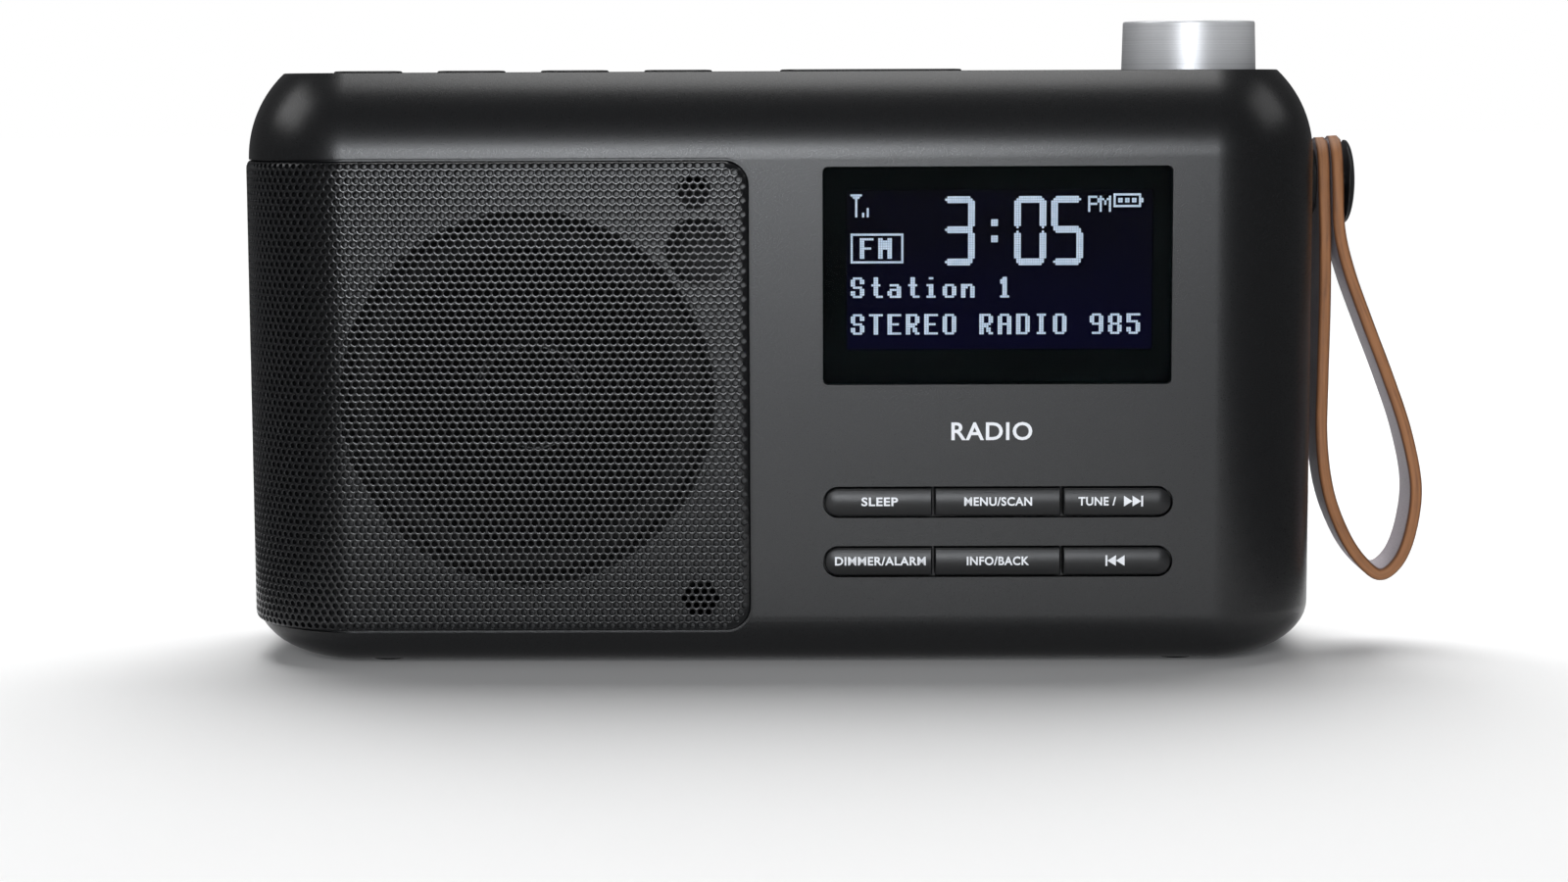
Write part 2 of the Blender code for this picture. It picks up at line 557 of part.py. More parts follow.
def aerial():
    """A swivelling fork, a cross pin, the root with its ferrule, and four tubes stowed inside each other."""
    mm = 0.001
    wall_y = NOTCH_Y - AERIAL.y
    fork = turned("aerial_fork", [(0, wall_y + 1.3 * mm), (4.2 * mm, wall_y + 1.3 * mm),
                                  (4.2 * mm, wall_y + 0.3 * mm), (2.5 * mm, wall_y + 0.3 * mm),
                                  (2.5 * mm, wall_y - 4.5 * mm), (0, wall_y - 4.5 * mm)], "chrome", AERIAL,
                  FACE_BACK, 24)
    for side in (-1, 1):
        low, high = sorted((side * 1.6 * mm, side * 2.9 * mm))
        ear = place(f"ear_{side + 1}", rod(3.0 * mm, low, high), at=AERIAL)
        stem = place(f"ear_stem_{side + 1}", box((-0.0026, wall_y + 0.8 * mm, low), (0.0026, 0, high)), at=AERIAL)
        boolean(fork, ear, "UNION")
        boolean(fork, stem, "UNION")
    boolean(fork, place("pin_hole", rod(1.3 * mm, -0.005, 0.005, 16), at=AERIAL))
    turned("aerial_pin", [(0, 2.9 * mm), (1.0 * mm, 2.9 * mm), (1.0 * mm, -2.9 * mm), (0, -2.9 * mm)], "chrome",
           AERIAL, steps=16)
    root = place("aerial_root", rod(2.6 * mm, -1.3 * mm, 1.3 * mm), "chrome", at=AERIAL)
    boolean(root, place("tongue", box((-0.0065, -0.0016, -1.3 * mm), (0, 0.0016, 1.3 * mm)), at=AERIAL), "UNION")
    ferrule = place("ferrule", rod(3.4 * mm, 0.0054, 0.0082), at=AERIAL, turn=FACE_LEFT)
    boolean(root, ferrule, "UNION")
    boolean(root, place("root_pin_hole", rod(1.3 * mm, -0.005, 0.005, 16), at=AERIAL))
    start, length = 0.0085, 0.1240
    for i, radius in enumerate(AERIAL_RADII):
        name = f"aerial_tube_{i + 1}"
        low, high = start + 0.0006 * i, start + length + 0.0012 * i
        if i < len(AERIAL_RADII) - 1:
            bore = radius - AERIAL_WALL
            profile = [(bore, high), (radius, high), (radius, low), (bore, low)]
            turned(name, profile, "chrome", AERIAL, FACE_LEFT, 16, True)
        else:
            tip = high + 0.0036
            profile = [(0, tip), (2.0 * mm, tip), (2.9 * mm, tip - 0.8 * mm), (2.9 * mm, high + 0.0005),
                       (radius, high + 0.0005), (radius, low), (0, low)]
            turned(name, profile, "chrome", AERIAL, FACE_LEFT, 16)


# ---- wrist loop -------------------------------------------------------------------------------------
# The loop's middle line (x, z), from the inner end at the stud, down beside the case, round and back up.
LOOP_LINE = ((0.1036, 0.0981), (0.1040, 0.0896), (0.1046, 0.0790), (0.1049, 0.0660), (0.1046, 0.0520),
             (0.1044, 0.0400), (0.1056, 0.0300), (0.1086, 0.0220), (0.1120, 0.0167), (0.1158, 0.0138),
             (0.1193, 0.0163), (0.1216, 0.0222), (0.1225, 0.0310), (0.1204, 0.0415), (0.1168, 0.0520),
             (0.1127, 0.0625), (0.1091, 0.0722), (0.1070, 0.0806), (0.1066, 0.0896), (0.1061, 0.0984))


def smooth_line(points, steps=3):
    """Points of a Catmull-Rom curve through the given ones."""
    padded = [2 * points[0] - points[1], *points, 2 * points[-1] - points[-2]]
    line = []
    for before, start, end, after in zip(padded, padded[1:], padded[2:], padded[3:]):
        for step in range(steps):
            t = step / steps
            line.append(0.5 * (2 * start + (end - before) * t + (2 * before - 5 * start + 4 * end - after) * t ** 2
                               + (3 * start - before - 3 * end + after) * t ** 3))
    return line + [points[-1]]


def wrist_loop():
    line = smooth_line([Vector(point) for point in LOOP_LINE])
    left, right = [], []
    for i, point in enumerate(line):
        along = line[min(i + 1, len(line) - 1)] - line[max(i - 1, 0)]
        side = Vector((along.y, -along.x)).normalized() * STRAP_THICK / 2
        left.append(point + side)
        right.append(point - side)
    pivot = Vector((HALF_W, 0, STUD_Z))
    outline = [(x - pivot.x, z - pivot.z) for x, z in left + right[::-1]]
    strap = place("wrist_loop", plate(outline, -STRAP_W / 2, STRAP_W / 2), "leather_tan", at=pivot)
    boolean(strap, place("loop_hole", rod(0.0026, 0, 0.0090, 16), at=pivot, turn=FACE_RIGHT))
    mm = 0.001
    turned("strap_washer", [(2.5 * mm, 1.5 * mm), (6.5 * mm, 1.5 * mm), (6.5 * mm, 0.3 * mm), (2.5 * mm, 0.3 * mm)],
           "case_black", pivot, FACE_RIGHT, 24, True)
    turned("strap_stud", [(0, 9.2 * mm), (3.6 * mm, 9.0 * mm), (6.4 * mm, 8.4 * mm), (7.7 * mm, 7.8 * mm),
                          (8.0 * mm, 7.4 * mm), (2.2 * mm, 7.4 * mm), (2.2 * mm, -6.0 * mm), (0, -6.0 * mm)],
           "case_black", pivot, FACE_RIGHT, 32)


def grille():
    sheet = wrapped_sheet(0, GRILLE_PROUD - GRILLE_THICK, GRILLE_PROUD)
    place("speaker_grille", sheet, "grille_black")


front_shell, rear_shell = case_shells()
cut_front(front_shell)
cut_rear(rear_shell)
grille()
speaker()
keys(display())
top_row()
volume()
back_and_power()
aerial()
wrist_loop()
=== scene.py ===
"""The looks of the portable radio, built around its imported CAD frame. Metres, +Z up, front towards -Y."""

import math

import bmesh
import bpy
from mathutils import Matrix, Vector


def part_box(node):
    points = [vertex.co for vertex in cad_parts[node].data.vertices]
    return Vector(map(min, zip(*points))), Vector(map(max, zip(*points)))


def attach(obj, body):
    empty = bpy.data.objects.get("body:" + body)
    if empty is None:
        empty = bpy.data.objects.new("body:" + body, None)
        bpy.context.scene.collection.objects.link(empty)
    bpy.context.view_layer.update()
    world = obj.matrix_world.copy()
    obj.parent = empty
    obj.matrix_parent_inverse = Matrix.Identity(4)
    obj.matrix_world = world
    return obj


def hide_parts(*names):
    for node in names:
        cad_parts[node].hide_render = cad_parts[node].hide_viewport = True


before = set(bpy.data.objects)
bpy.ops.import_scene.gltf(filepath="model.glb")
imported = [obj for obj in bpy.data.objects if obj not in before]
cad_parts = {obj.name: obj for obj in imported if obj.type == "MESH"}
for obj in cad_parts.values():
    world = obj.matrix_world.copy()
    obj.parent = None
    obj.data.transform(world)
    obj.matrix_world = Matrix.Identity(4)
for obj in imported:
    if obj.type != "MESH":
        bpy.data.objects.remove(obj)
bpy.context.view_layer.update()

MM = 0.001

# ---- driving dimensions, as in the CAD ----
case_low, case_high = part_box("front_shell")
X0 = (case_low.x + case_high.x) / 2
HALF_W = (case_high.x - case_low.x) / 2
FRONT = case_low.y
HALF_D = -FRONT
BODY_BOTTOM = case_low.z
TOP_RISE = 0.35 * MM
BODY_TOP = case_high.z + TOP_RISE
PART_Y = case_high.y
GAP = 0.3 * MM
WALL = 2.4 * MM
CORNER_R = 20.5 * MM
CROWN_R = 22.0 * MM
CROWN_Z = 95.0 * MM
CREASE = 0.15 * MM
BASE_RISE = 9.0 * MM
BASE_INSET_X = 13.0 * MM
BASE_INSET_Y = 6.5 * MM
INNER_FRONT = FRONT + WALL

GRILLE_X = -5.6 * MM
GRILLE_Z = (7.2 * MM, 94.8 * MM)
GRILLE_BACK_Y = 4.0 * MM
GRILLE_PROUD = 0.5 * MM
GRILLE_CORNER = 4.6 * MM
RECESS_DEPTH = 1.5 * MM
GRILLE_MARGIN = 0.45 * MM
SIDE_MARGIN = 0.12 * MM
STRAIGHT = HALF_W - CORNER_R + GRILLE_X
QUARTER = CORNER_R * math.pi / 2
GRILLE_RUN = STRAIGHT + QUARTER + GRILLE_BACK_Y + HALF_D - CORNER_R

SPEAKER = (-47.0 * MM, 50.6 * MM)
SPEAKER_HOLE_R = 35.0 * MM
WINDOW = (8.0 * MM, 72.5 * MM, 53.2 * MM, 93.5 * MM)
WALL_OPENINGS = ((3.2 * MM, -15.7 * MM, 88.9 * MM), (6.3 * MM, -14.8 * MM, 78.0 * MM),
                 (3.5 * MM, -15.0 * MM, 13.0 * MM))
KEY_ROW_X = (7.9 * MM, 73.0 * MM)
KEY_SPLITS_X = (28.5 * MM, 52.4 * MM)
KEY_ROW_H = 5.9 * MM
KEY_ROWS = {31.25 * MM: ("key_sleep", "key_menu", "key_tune_up"),
            20.1 * MM: ("key_dimmer", "key_info", "key_tune_down")}
TOP_ROW_Y = -3.5 * MM
TOP_BUTTON_D = 7.0 * MM
BUTTON_FLANGE = 1.0 * MM
KNOB_X = 78.0 * MM
KNOB_STEM_R = 4.5 * MM
KNOB_POCKET_R = 13.4 * MM
BOSS_X = 82.0 * MM
BOSS_Z = (18.0 * MM, 78.0 * MM)
BOSS_R = 4.3 * MM
SCREW_HOLE_R = 1.6 * MM
SCREW_WELL_R = 3.0 * MM
AERIAL_HOLE_R = 2.8 * MM
NOTCH_Y = 20.6 * MM
NOTCH_Z = 94.2 * MM
STUD_Z = 89.6 * MM
STUD_HOLE_R = 2.5 * MM
STRAP_W = 12.5 * MM
STRAP_THICK = 2.3 * MM


# ---- materials ----
class Look:
    """A Principled material and the short calls that wire its texture nodes."""

    def __init__(self, name, colour, roughness, metallic=0.0, **sockets):
        self.material = bpy.data.materials.new(name)
        self.material.use_nodes = True
        self.tree = self.material.node_tree
        self.shader = self.tree.nodes["Principled BSDF"]
        self.shader.inputs["Base Color"].default_value = (*colour, 1)
        self.shader.inputs["Roughness"].default_value = roughness
        self.shader.inputs["Metallic"].default_value = metallic
        for socket, value in sockets.items():
            self.shader.inputs[socket.replace("_", " ")].default_value = value
        self.coords = self.node("ShaderNodeTexCoord").outputs["Object"]
        self.last_normal = None

    def node(self, kind, **values):
        made = self.tree.nodes.new(kind)
        for key, value in values.items():
            if key in made.inputs:
                made.inputs[key].default_value = value
            else:
                setattr(made, key, value)
        return made

    def link(self, source, target):
        self.tree.links.new(source, target)

    def noise(self, scale, detail=3.0, stretch=(1, 1, 1), vector=None):
        mapping = self.node("ShaderNodeMapping")
        mapping.inputs["Scale"].default_value = stretch
        self.link(vector or self.coords, mapping.inputs["Vector"])
        texture = self.node("ShaderNodeTexNoise", Scale=scale, Detail=detail)
        self.link(mapping.outputs["Vector"], texture.inputs["Vector"])
        return texture.outputs["Fac"]

    def ramp(self, source, low, high, start=0.3, end=0.7):
        ramp = self.node("ShaderNodeValToRGB")
        ramp.color_ramp.elements[0].position = start
        ramp.color_ramp.elements[1].position = end
        ramp.color_ramp.elements[0].color = (*low, 1)
        ramp.color_ramp.elements[1].color = (*high, 1)
        self.link(source, ramp.inputs["Fac"])
        return ramp.outputs["Color"]

    def mix(self, factor, first, second):
        mixer = self.node("ShaderNodeMix", data_type="RGBA")
        sockets = [mixer.inputs[0], mixer.inputs[6], mixer.inputs[7]]
        for socket, value in zip(sockets, (factor, first, second)):
            if isinstance(value, bpy.types.NodeSocket):
                self.link(value, socket)
            elif isinstance(value, tuple):
                socket.default_value = (*value, 1)
            else:
                socket.default_value = value
        return mixer.outputs[2]

    def split(self, source):
        """The outputs of a vector, by X, Y and Z."""
        made = self.node("ShaderNodeSeparateXYZ")
        self.link(source, made.inputs[0])
        return made.outputs

    def span(self, source, low, high):
        """0 where the source is at low, 1 where it is at high."""
        made = self.node("ShaderNodeMapRange")
        made.inputs["From Min"].default_value = low
        made.inputs["From Max"].default_value = high
        self.link(source, made.inputs["Value"])
        return made.outputs["Result"]

    def length(self, source):
        made = self.node("ShaderNodeVectorMath", operation="LENGTH")
        self.link(source, made.inputs[0])
        return made.outputs["Value"]

    def colour(self, source):
        self.link(source, self.shader.inputs["Base Color"])
        return self

    def roughness(self, source, low, high):
        spread = self.node("ShaderNodeMapRange")
        spread.inputs["To Min"].default_value = low
        spread.inputs["To Max"].default_value = high
        self.link(source, spread.inputs["Value"])
        self.link(spread.outputs["Result"], self.shader.inputs["Roughness"])
        return self

    def bump(self, source, distance, strength=1.0):
        made = self.node("ShaderNodeBump", Strength=strength, Distance=distance)
        self.link(source, made.inputs["Height"])
        if self.last_normal is not None:
            self.link(self.last_normal, made.inputs["Normal"])
        self.last_normal = made.outputs["Normal"]
        self.link(self.last_normal, self.shader.inputs["Normal"])
        return self


def shade(colour, factor):
    return tuple(channel * factor for channel in colour)


def moulded(name, colour, roughness, grain=5200, depth=0.02 * MM, speckle=0.25, **sockets):
    """Spark-eroded moulded plastic: a fine pebble in the height, a faint speckle in the colour."""
    look = Look(name, colour, roughness, **sockets)
    pebble = look.noise(grain, 2.0)
    cloud = look.noise(60, 3.0)
    spots = look.ramp(pebble, shade(colour, 1 - speckle), shade(colour, 1 + speckle), 0.35, 0.65)
    look.colour(look.mix(cloud, spots, shade(colour, 0.92)))
    look.roughness(pebble, roughness - 0.06, roughness + 0.06)
    return look.bump(pebble, depth, 0.7).material


def metal(name, colour, roughness, stretch=(1, 1, 1), scale=900, depth=0.004 * MM, metallic=1.0):
    """Turned, drawn or plated metal: fine lines along the way that it was worked."""
    look = Look(name, colour, roughness, metallic)
    lines = look.noise(scale, 4.0, stretch)
    look.colour(look.ramp(lines, shade(colour, 0.9), shade(colour, 1.05)))
    look.roughness(lines, roughness - 0.05, roughness + 0.07)
    return look.bump(lines, depth, 0.5).material


def turned_metal():
    """Satin aluminium with the lathe's lines: rings on a flat end, hoops round a side."""
    colour = (0.82, 0.83, 0.85)
    look = Look("knob_metal", colour, 0.43, 0.6)
    split = look.split(look.coords)
    flat = look.node("ShaderNodeCombineXYZ")
    look.link(split["X"], flat.inputs["X"])
    look.link(split["Y"], flat.inputs["Y"])
    place = look.node("ShaderNodeCombineXYZ")
    look.link(look.length(flat.outputs[0]), place.inputs["X"])
    look.link(split["Z"], place.inputs["Y"])
    lines = look.noise(9000, 3.0, vector=place.outputs[0])
    grain = look.noise(2600, 3.0)
    tone = look.ramp(lines, shade(colour, 0.80), shade(colour, 1.08))
    look.colour(look.mix(look.ramp(grain, (0, 0, 0), (0.5, 0.5, 0.5)), tone, shade(colour, 0.90)))
    look.roughness(lines, 0.36, 0.50)
    look.bump(grain, 0.006 * MM, 0.5)
    return look.bump(lines, 0.010 * MM, 0.6).material


def leather():
    """Grey-dyed split leather with raw tan edges.

    The attribute "edge" is 1 on the cut edges; "lay" is the place along, across and through the strap."""
    tan, tan_dark, burnished = (0.285, 0.122, 0.046), (0.110, 0.040, 0.014), (0.075, 0.026, 0.011)
    grey, grey_dark = (0.400, 0.365, 0.390), (0.200, 0.182, 0.200)
    look = Look("strap_leather", tan, 0.6)
    edge = look.node("ShaderNodeAttribute", attribute_name="edge").outputs["Fac"]
    lay = look.node("ShaderNodeAttribute", attribute_name="lay").outputs["Vector"]
    fibres = look.noise(1.0, 5.0, (90, 2200, 2200), lay)
    mottle = look.noise(260, 5.0)
    nap = look.noise(3000, 3.0)
    cut = look.ramp(fibres, tan_dark, tan, 0.32, 0.62)
    cut = look.mix(look.ramp(mottle, (0.25, 0.25, 0.25), (0.75, 0.75, 0.75)), cut, tan)
    depth = look.node("ShaderNodeMath", operation="ABSOLUTE")
    look.link(look.split(lay)["Z"], depth.inputs[0])
    rim = look.span(depth.outputs[0], STRAP_THICK * 0.30, STRAP_THICK * 0.50)
    cut = look.mix(rim, cut, burnished)
    face = look.mix(look.ramp(nap, (0, 0, 0), (1, 1, 1)), grey_dark, grey)
    face = look.mix(mottle, face, grey)
    look.colour(look.mix(edge, face, cut))
    look.roughness(mottle, 0.50, 0.72)
    look.bump(nap, 0.03 * MM, 0.5)
    return look.bump(fibres, 0.05 * MM, 0.5).material


def display_glass():
    """The dark blue display: black at the top, a faint blue glow lower down."""
    look = Look("display_glass", (0.0005, 0.0006, 0.003), 0.60, Specular_IOR_Level=0.0)
    look.shader.inputs["Emission Strength"].default_value = 1.0
    rise = look.span(look.split(look.coords)["Z"], 60 * MM, 82 * MM)
    glow = look.ramp(rise, (0.0012, 0.0012, 0.0085), (0.0010, 0.0010, 0.0016), 0.0, 1.0)
    look.link(glow, look.shader.inputs["Emission Color"])
    return look.material


CASE = moulded("case_plastic", (0.0060, 0.0062, 0.0068), 0.29, speckle=0.35)
KEY = moulded("key_plastic", (0.0060, 0.0062, 0.0068), 0.32, speckle=0.35, Specular_IOR_Level=0.42)
STUD = moulded("stud_plastic", (0.0080, 0.0085, 0.0090), 0.38, depth=0.008 * MM)
INNER = moulded("inner_plastic", (0.0080, 0.0080, 0.0085), 0.60, grain=2500)
RUBBER = moulded("rubber", (0.0080, 0.0080, 0.0080), 0.80, grain=1800)
PAPER = moulded("cone_paper", (0.0045, 0.0042, 0.0040), 0.90, grain=1500, depth=0.05 * MM,
                Specular_IOR_Level=0.2)
PAINTED = moulded("painted_steel", (0.0060, 0.0060, 0.0060), 0.70, grain=900, Specular_IOR_Level=0.2)
SILICONE = moulded("silicone", (0.300, 0.300, 0.300), 0.60, grain=1500)
BOARD = moulded("board", (0.010, 0.085, 0.032), 0.40, grain=900)
CELL = moulded("cell_wrap", (0.030, 0.055, 0.120), 0.25, grain=800, depth=0.005 * MM)
GRILLE = moulded("grille_metal", (0.0050, 0.0052, 0.0060), 0.18, grain=3000, depth=0.004 * MM,
                 Specular_IOR_Level=0.50)
KNOB = turned_metal()
STEEL = metal("steel", (0.52, 0.52, 0.53), 0.30)
CHROME = metal("chrome", (0.80, 0.80, 0.81), 0.16, (0.2, 3, 3), 500, 0.001 * MM, 0.75)
LEATHER = leather()
DISPLAY = display_glass()
WHITE_INK = moulded("label_ink", (0.80, 0.82, 0.86), 0.50, grain=2500, depth=0.004 * MM, speckle=0.05)


# ---- mesh helpers ----
def put(name, data):
    """A new object in the scene."""
    made = bpy.data.objects.new(name, data)
    bpy.context.scene.collection.objects.link(made)
    return made


def add(name, bm, material, at=(0, 0, 0), turn=(0, 0, 0), smooth=35):
    """A piece from a bmesh laid out from the case's middle."""
    bmesh.ops.recalc_face_normals(bm, faces=bm.faces[:])
    mesh = bpy.data.meshes.new(name)
    bm.to_mesh(mesh)
    bm.free()
    if smooth:
        mesh.shade_smooth()
        mesh.set_sharp_from_angle(angle=math.radians(smooth))
    piece = put(name, mesh)
    piece.location = Vector(at) + Vector((X0, 0, 0))
    piece.rotation_euler = turn
    if material:
        mesh.materials.append(material)
    return piece


def stand_for(piece, body, slot, *nodes):
    """The piece rides on a CAD body, in place of CAD nodes. The slot argument is not used."""
    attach(piece, body)
    if nodes:
        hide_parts(*nodes)
    return piece


def box(low, high):
    low, high = Vector(low), Vector(high)
    bm = bmesh.new()
    bmesh.ops.create_cube(bm, size=1.0)
    bmesh.ops.scale(bm, vec=high - low, verts=bm.verts)
    bmesh.ops.translate(bm, vec=(low + high) / 2, verts=bm.verts)
    return bm


def rod(radius, low, high, segments=48):
    bm = bmesh.new()
    bmesh.ops.create_cone(bm, cap_ends=True, segments=segments, radius1=radius, radius2=radius,
                          depth=high - low)
    bmesh.ops.translate(bm, vec=(0, 0, (low + high) / 2), verts=bm.verts)
    return bm


def rounded(x0, x1, z0, z1, radii, steps=8):
    """Points (x, z) round a rectangle with its own radius at each corner: top right, top left, and on."""
    points = []
    corners = ((x1, z1, 1, 1), (x0, z1, -1, 1), (x0, z0, -1, -1), (x1, z0, 1, -1))
    for turn, ((x, z, sign_x, sign_z), radius) in enumerate(zip(corners, radii)):
        for step in range(steps + 1):
            angle = math.pi / 2 * (turn + step / steps)
            points.append((x - sign_x * radius + radius * math.cos(angle),
                           z - sign_z * radius + radius * math.sin(angle)))
    return points


def prism(base, way):
    """A flat outline of points in space, drawn out along a vector."""
    bm = bmesh.new()
    face = bm.faces.new([bm.verts.new(point) for point in base])
    grown = bmesh.ops.extrude_face_region(bm, geom=[face])["geom"]
    moved = [v for v in grown if isinstance(v, bmesh.types.BMVert)]
    bmesh.ops.translate(bm, vec=way, verts=moved)
    return bm


def plate(outline, y0, y1):
    """A body from an outline in X and Z, from y0 to y1."""
    return prism([(x, y0, z) for x, z in outline], (0, y1 - y0, 0))


def loft(rings):
    """A capped body through rings of points, each ring having the same number of them."""
    bm = bmesh.new()
    loops = [[bm.verts.new(point) for point in ring] for ring in rings]
    count = len(loops[0])
    for lower, upper in zip(loops, loops[1:]):
        for i in range(count):
            j = (i + 1) % count
            bm.faces.new((lower[i], lower[j], upper[j], upper[i]))
    bm.faces.new(reversed(loops[0]))
    bm.faces.new(loops[-1])
    return bm


def lathe(profile, steps=64, ring=False):
    """A body turned about Z. The profile (r, z) runs from the top down its outer side."""
    bm = bmesh.new()
    turns = [2 * math.pi * i / steps for i in range(steps)]
    loops = []
    for r, z in profile:
        if r < 1e-7:
            loops.append([bm.verts.new((0, 0, z))] * steps)
        else:
            loops.append([bm.verts.new((r * math.cos(t), r * math.sin(t), z)) for t in turns])
    pairs = list(zip(loops, loops[1:])) + ([(loops[-1], loops[0])] if ring else [])
    for upper, lower in pairs:
        for i in range(steps):
            j = (i + 1) % steps
            corners = []
            for vert in (upper[i], lower[i], lower[j], upper[j]):
                if vert not in corners:
                    corners.append(vert)
            if len(corners) > 2:
                bm.faces.new(corners)
    return bm


def in_mm(points):
    return [(a * MM, b * MM) for a, b in points]


def eased(profile, radius, steps=4):
    """The profile with each inner corner rounded by an arc-like curve of about the given radius."""
    out = [profile[0]]
    for before, corner, after in zip(profile, profile[1:], profile[2:]):
        a, b, c = Vector(before), Vector(corner), Vector(after)
        reach = min(radius, (a - b).length * 0.45, (c - b).length * 0.45)
        start, end = b + (a - b).normalized() * reach, b + (c - b).normalized() * reach
        for step in range(steps + 1):
            t = step / steps
            out.append(tuple((1 - t) ** 2 * start + 2 * t * (1 - t) * b + t ** 2 * end))
    return out + [profile[-1]]


FACE_BACK = (-math.pi / 2, 0, 0)
FACE_RIGHT = (0, math.pi / 2, 0)
FACE_LEFT = (0, -math.pi / 2, 0)


def carve(piece, cutters):
    """Cuts the pieces in cutters out of piece and removes them."""
    for cutter in cutters:
        modifier = piece.modifiers.new("Cut", "BOOLEAN")
        modifier.object = cutter
        modifier.solver = "EXACT"
    apply_modifiers(piece)
    for cutter in cutters:
        bpy.data.objects.remove(cutter)
    return piece


def apply_modifiers(piece):
    graph = bpy.context.evaluated_depsgraph_get()
    mesh = bpy.data.meshes.new_from_object(piece.evaluated_get(graph))
    piece.modifiers.clear()
    piece.data = mesh


def soften(piece, width, segments=2, angle=38):
    """A small radius on the sharp edges, with the flat faces kept flat in the shading."""
    bevel = piece.modifiers.new("Edges", "BEVEL")
    bevel.width = width
    bevel.segments = segments
    bevel.limit_method = "ANGLE"
    bevel.angle_limit = math.radians(angle)
    bevel.use_clamp_overlap = True
    bevel.miter_outer = "MITER_ARC"
    weigh = piece.modifiers.new("Normals", "WEIGHTED_NORMAL")
    weigh.keep_sharp = True
    piece.data.shade_smooth()
    piece.data.set_sharp_from_angle(angle=math.radians(75))


# ---- the case ----
def case_outline(z, inset_x, inset_y, steps=20):
    radius_x, radius_y = CORNER_R - inset_x, CORNER_R - inset_y
    points = []
    for turn, (sign_x, sign_y) in enumerate(((1, 1), (-1, 1), (-1, -1), (1, -1))):
        for step in range(steps + 1):
            angle = math.pi / 2 * (turn + step / steps)
            points.append((sign_x * (HALF_W - CORNER_R) + radius_x * math.cos(angle),
                           sign_y * (HALF_D - CORNER_R) + radius_y * math.sin(angle), z))
    return points


def case_form(skin, base_steps=12, crown_steps=14):
    """The case's form, skin inside its outer face: rolled base, upright walls, crowned top edge."""
    rings = []
    for step in range(base_steps + 1):
        angle = math.pi / 2 * step / base_steps
        draw = 1 - math.sin(angle)
        z = BODY_BOTTOM + skin + (BASE_RISE - skin) * (1 - math.cos(angle))
        insets = [skin + (full - skin) * draw for full in (BASE_INSET_X, BASE_INSET_Y)]
        rings.append(case_outline(z, *insets))
    sweep = math.asin((BODY_TOP - CREASE - CROWN_Z - skin) / (CROWN_R - skin))
    for step in range(crown_steps + 1):
        angle = sweep * step / crown_steps
        inset = skin + (CROWN_R - skin) * (1 - math.cos(angle))
        rings.append(case_outline(CROWN_Z + (CROWN_R - skin) * math.sin(angle), inset, inset))
    turn_in, flat_in = inset + CREASE * math.tan(sweep), inset + CREASE * (math.tan(sweep) + 2)
    for step in range(1, 5):
        t = step / 4
        inward = (1 - t) ** 2 * inset + 2 * t * (1 - t) * turn_in + t ** 2 * flat_in
        rings.append(case_outline(BODY_TOP - skin - CREASE * (1 - t) ** 2, inward, inward))
    return loft(rings)


def wrap_point(run, stand):
    """A point run along the case's plan from the grille's right edge round the front left corner."""
    if run <= STRAIGHT:
        return GRILLE_X - run, FRONT - stand
    if run <= STRAIGHT + QUARTER:
        angle = (run - STRAIGHT) / CORNER_R
        reach = CORNER_R + stand
        return (CORNER_R - HALF_W - reach * math.sin(angle),
                CORNER_R - HALF_D - reach * math.cos(angle))
    return -HALF_W - stand, -(HALF_D - CORNER_R) + run - STRAIGHT - QUARTER


def grille_recess():
    start, end = -GRILLE_MARGIN, GRILLE_RUN + GRILLE_MARGIN
    low, high = GRILLE_Z[0] - GRILLE_MARGIN, GRILLE_Z[1] + GRILLE_MARGIN
    radius = GRILLE_CORNER + GRILLE_MARGIN
    arcs = [math.pi / 2 * step / 10 for step in range(11)]
    columns = [(start + radius * (1 - math.cos(a)), radius * (1 - math.sin(a))) for a in arcs]
    columns += [(STRAIGHT + QUARTER * step / 20, 0) for step in range(21)]
    columns += [(end - radius * (1 - math.cos(a)), radius * (1 - math.sin(a))) for a in reversed(arcs)]
    rings = []
    for run, cut in columns:
        # The gap narrows round the left corner, where light would show through it.
        narrow = min(max((run - STRAIGHT) / QUARTER * 2, 0.0), 1.0) * (GRILLE_MARGIN - SIDE_MARGIN)
        near, far = wrap_point(run, -RECESS_DEPTH), wrap_point(run, 3 * MM)
        bottom, top = low + cut + narrow, high - cut - narrow
        rings.append([(*near, bottom), (*far, bottom), (*far, top), (*near, top)])
    return loft(rings)


def top_buttons():
    """(name, low x, high x) of each button on top, from the CAD, laid out from the case's middle."""
    found = []
    for name in (*(f"preset_button_{number}" for number in range(1, 5)), "snooze_bar"):
        low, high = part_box(name)
        found.append((name, low.x - X0 + BUTTON_FLANGE, high.x - X0 - BUTTON_FLANGE))
    return found


SLACK = 0.35 * MM
KNOB_POCKET = 1.5 * MM
FOOT_POCKET = 2.5 * MM
FOOT_POCKET_R = 4.1 * MM
SOCKET_SLACK = 0.4 * MM
SHELL_EDGE = 0.18 * MM
NOTCH_WALL = 2.0 * MM
ACROSS_FRONT = (-35 * MM, -20 * MM)
ACROSS_TOP = (100 * MM, 125 * MM)
BEYOND = 3 * HALF_W


def slab(outline, z0, z1):
    """A body from an outline in X and Y, from z0 to z1."""
    return prism([(x, y, z0) for x, y in outline], (0, 0, z1 - z0))


def cutter(bm, at=(0, 0, 0), turn=(0, 0, 0)):
    return add("cutter", bm, None, at, turn, smooth=0)


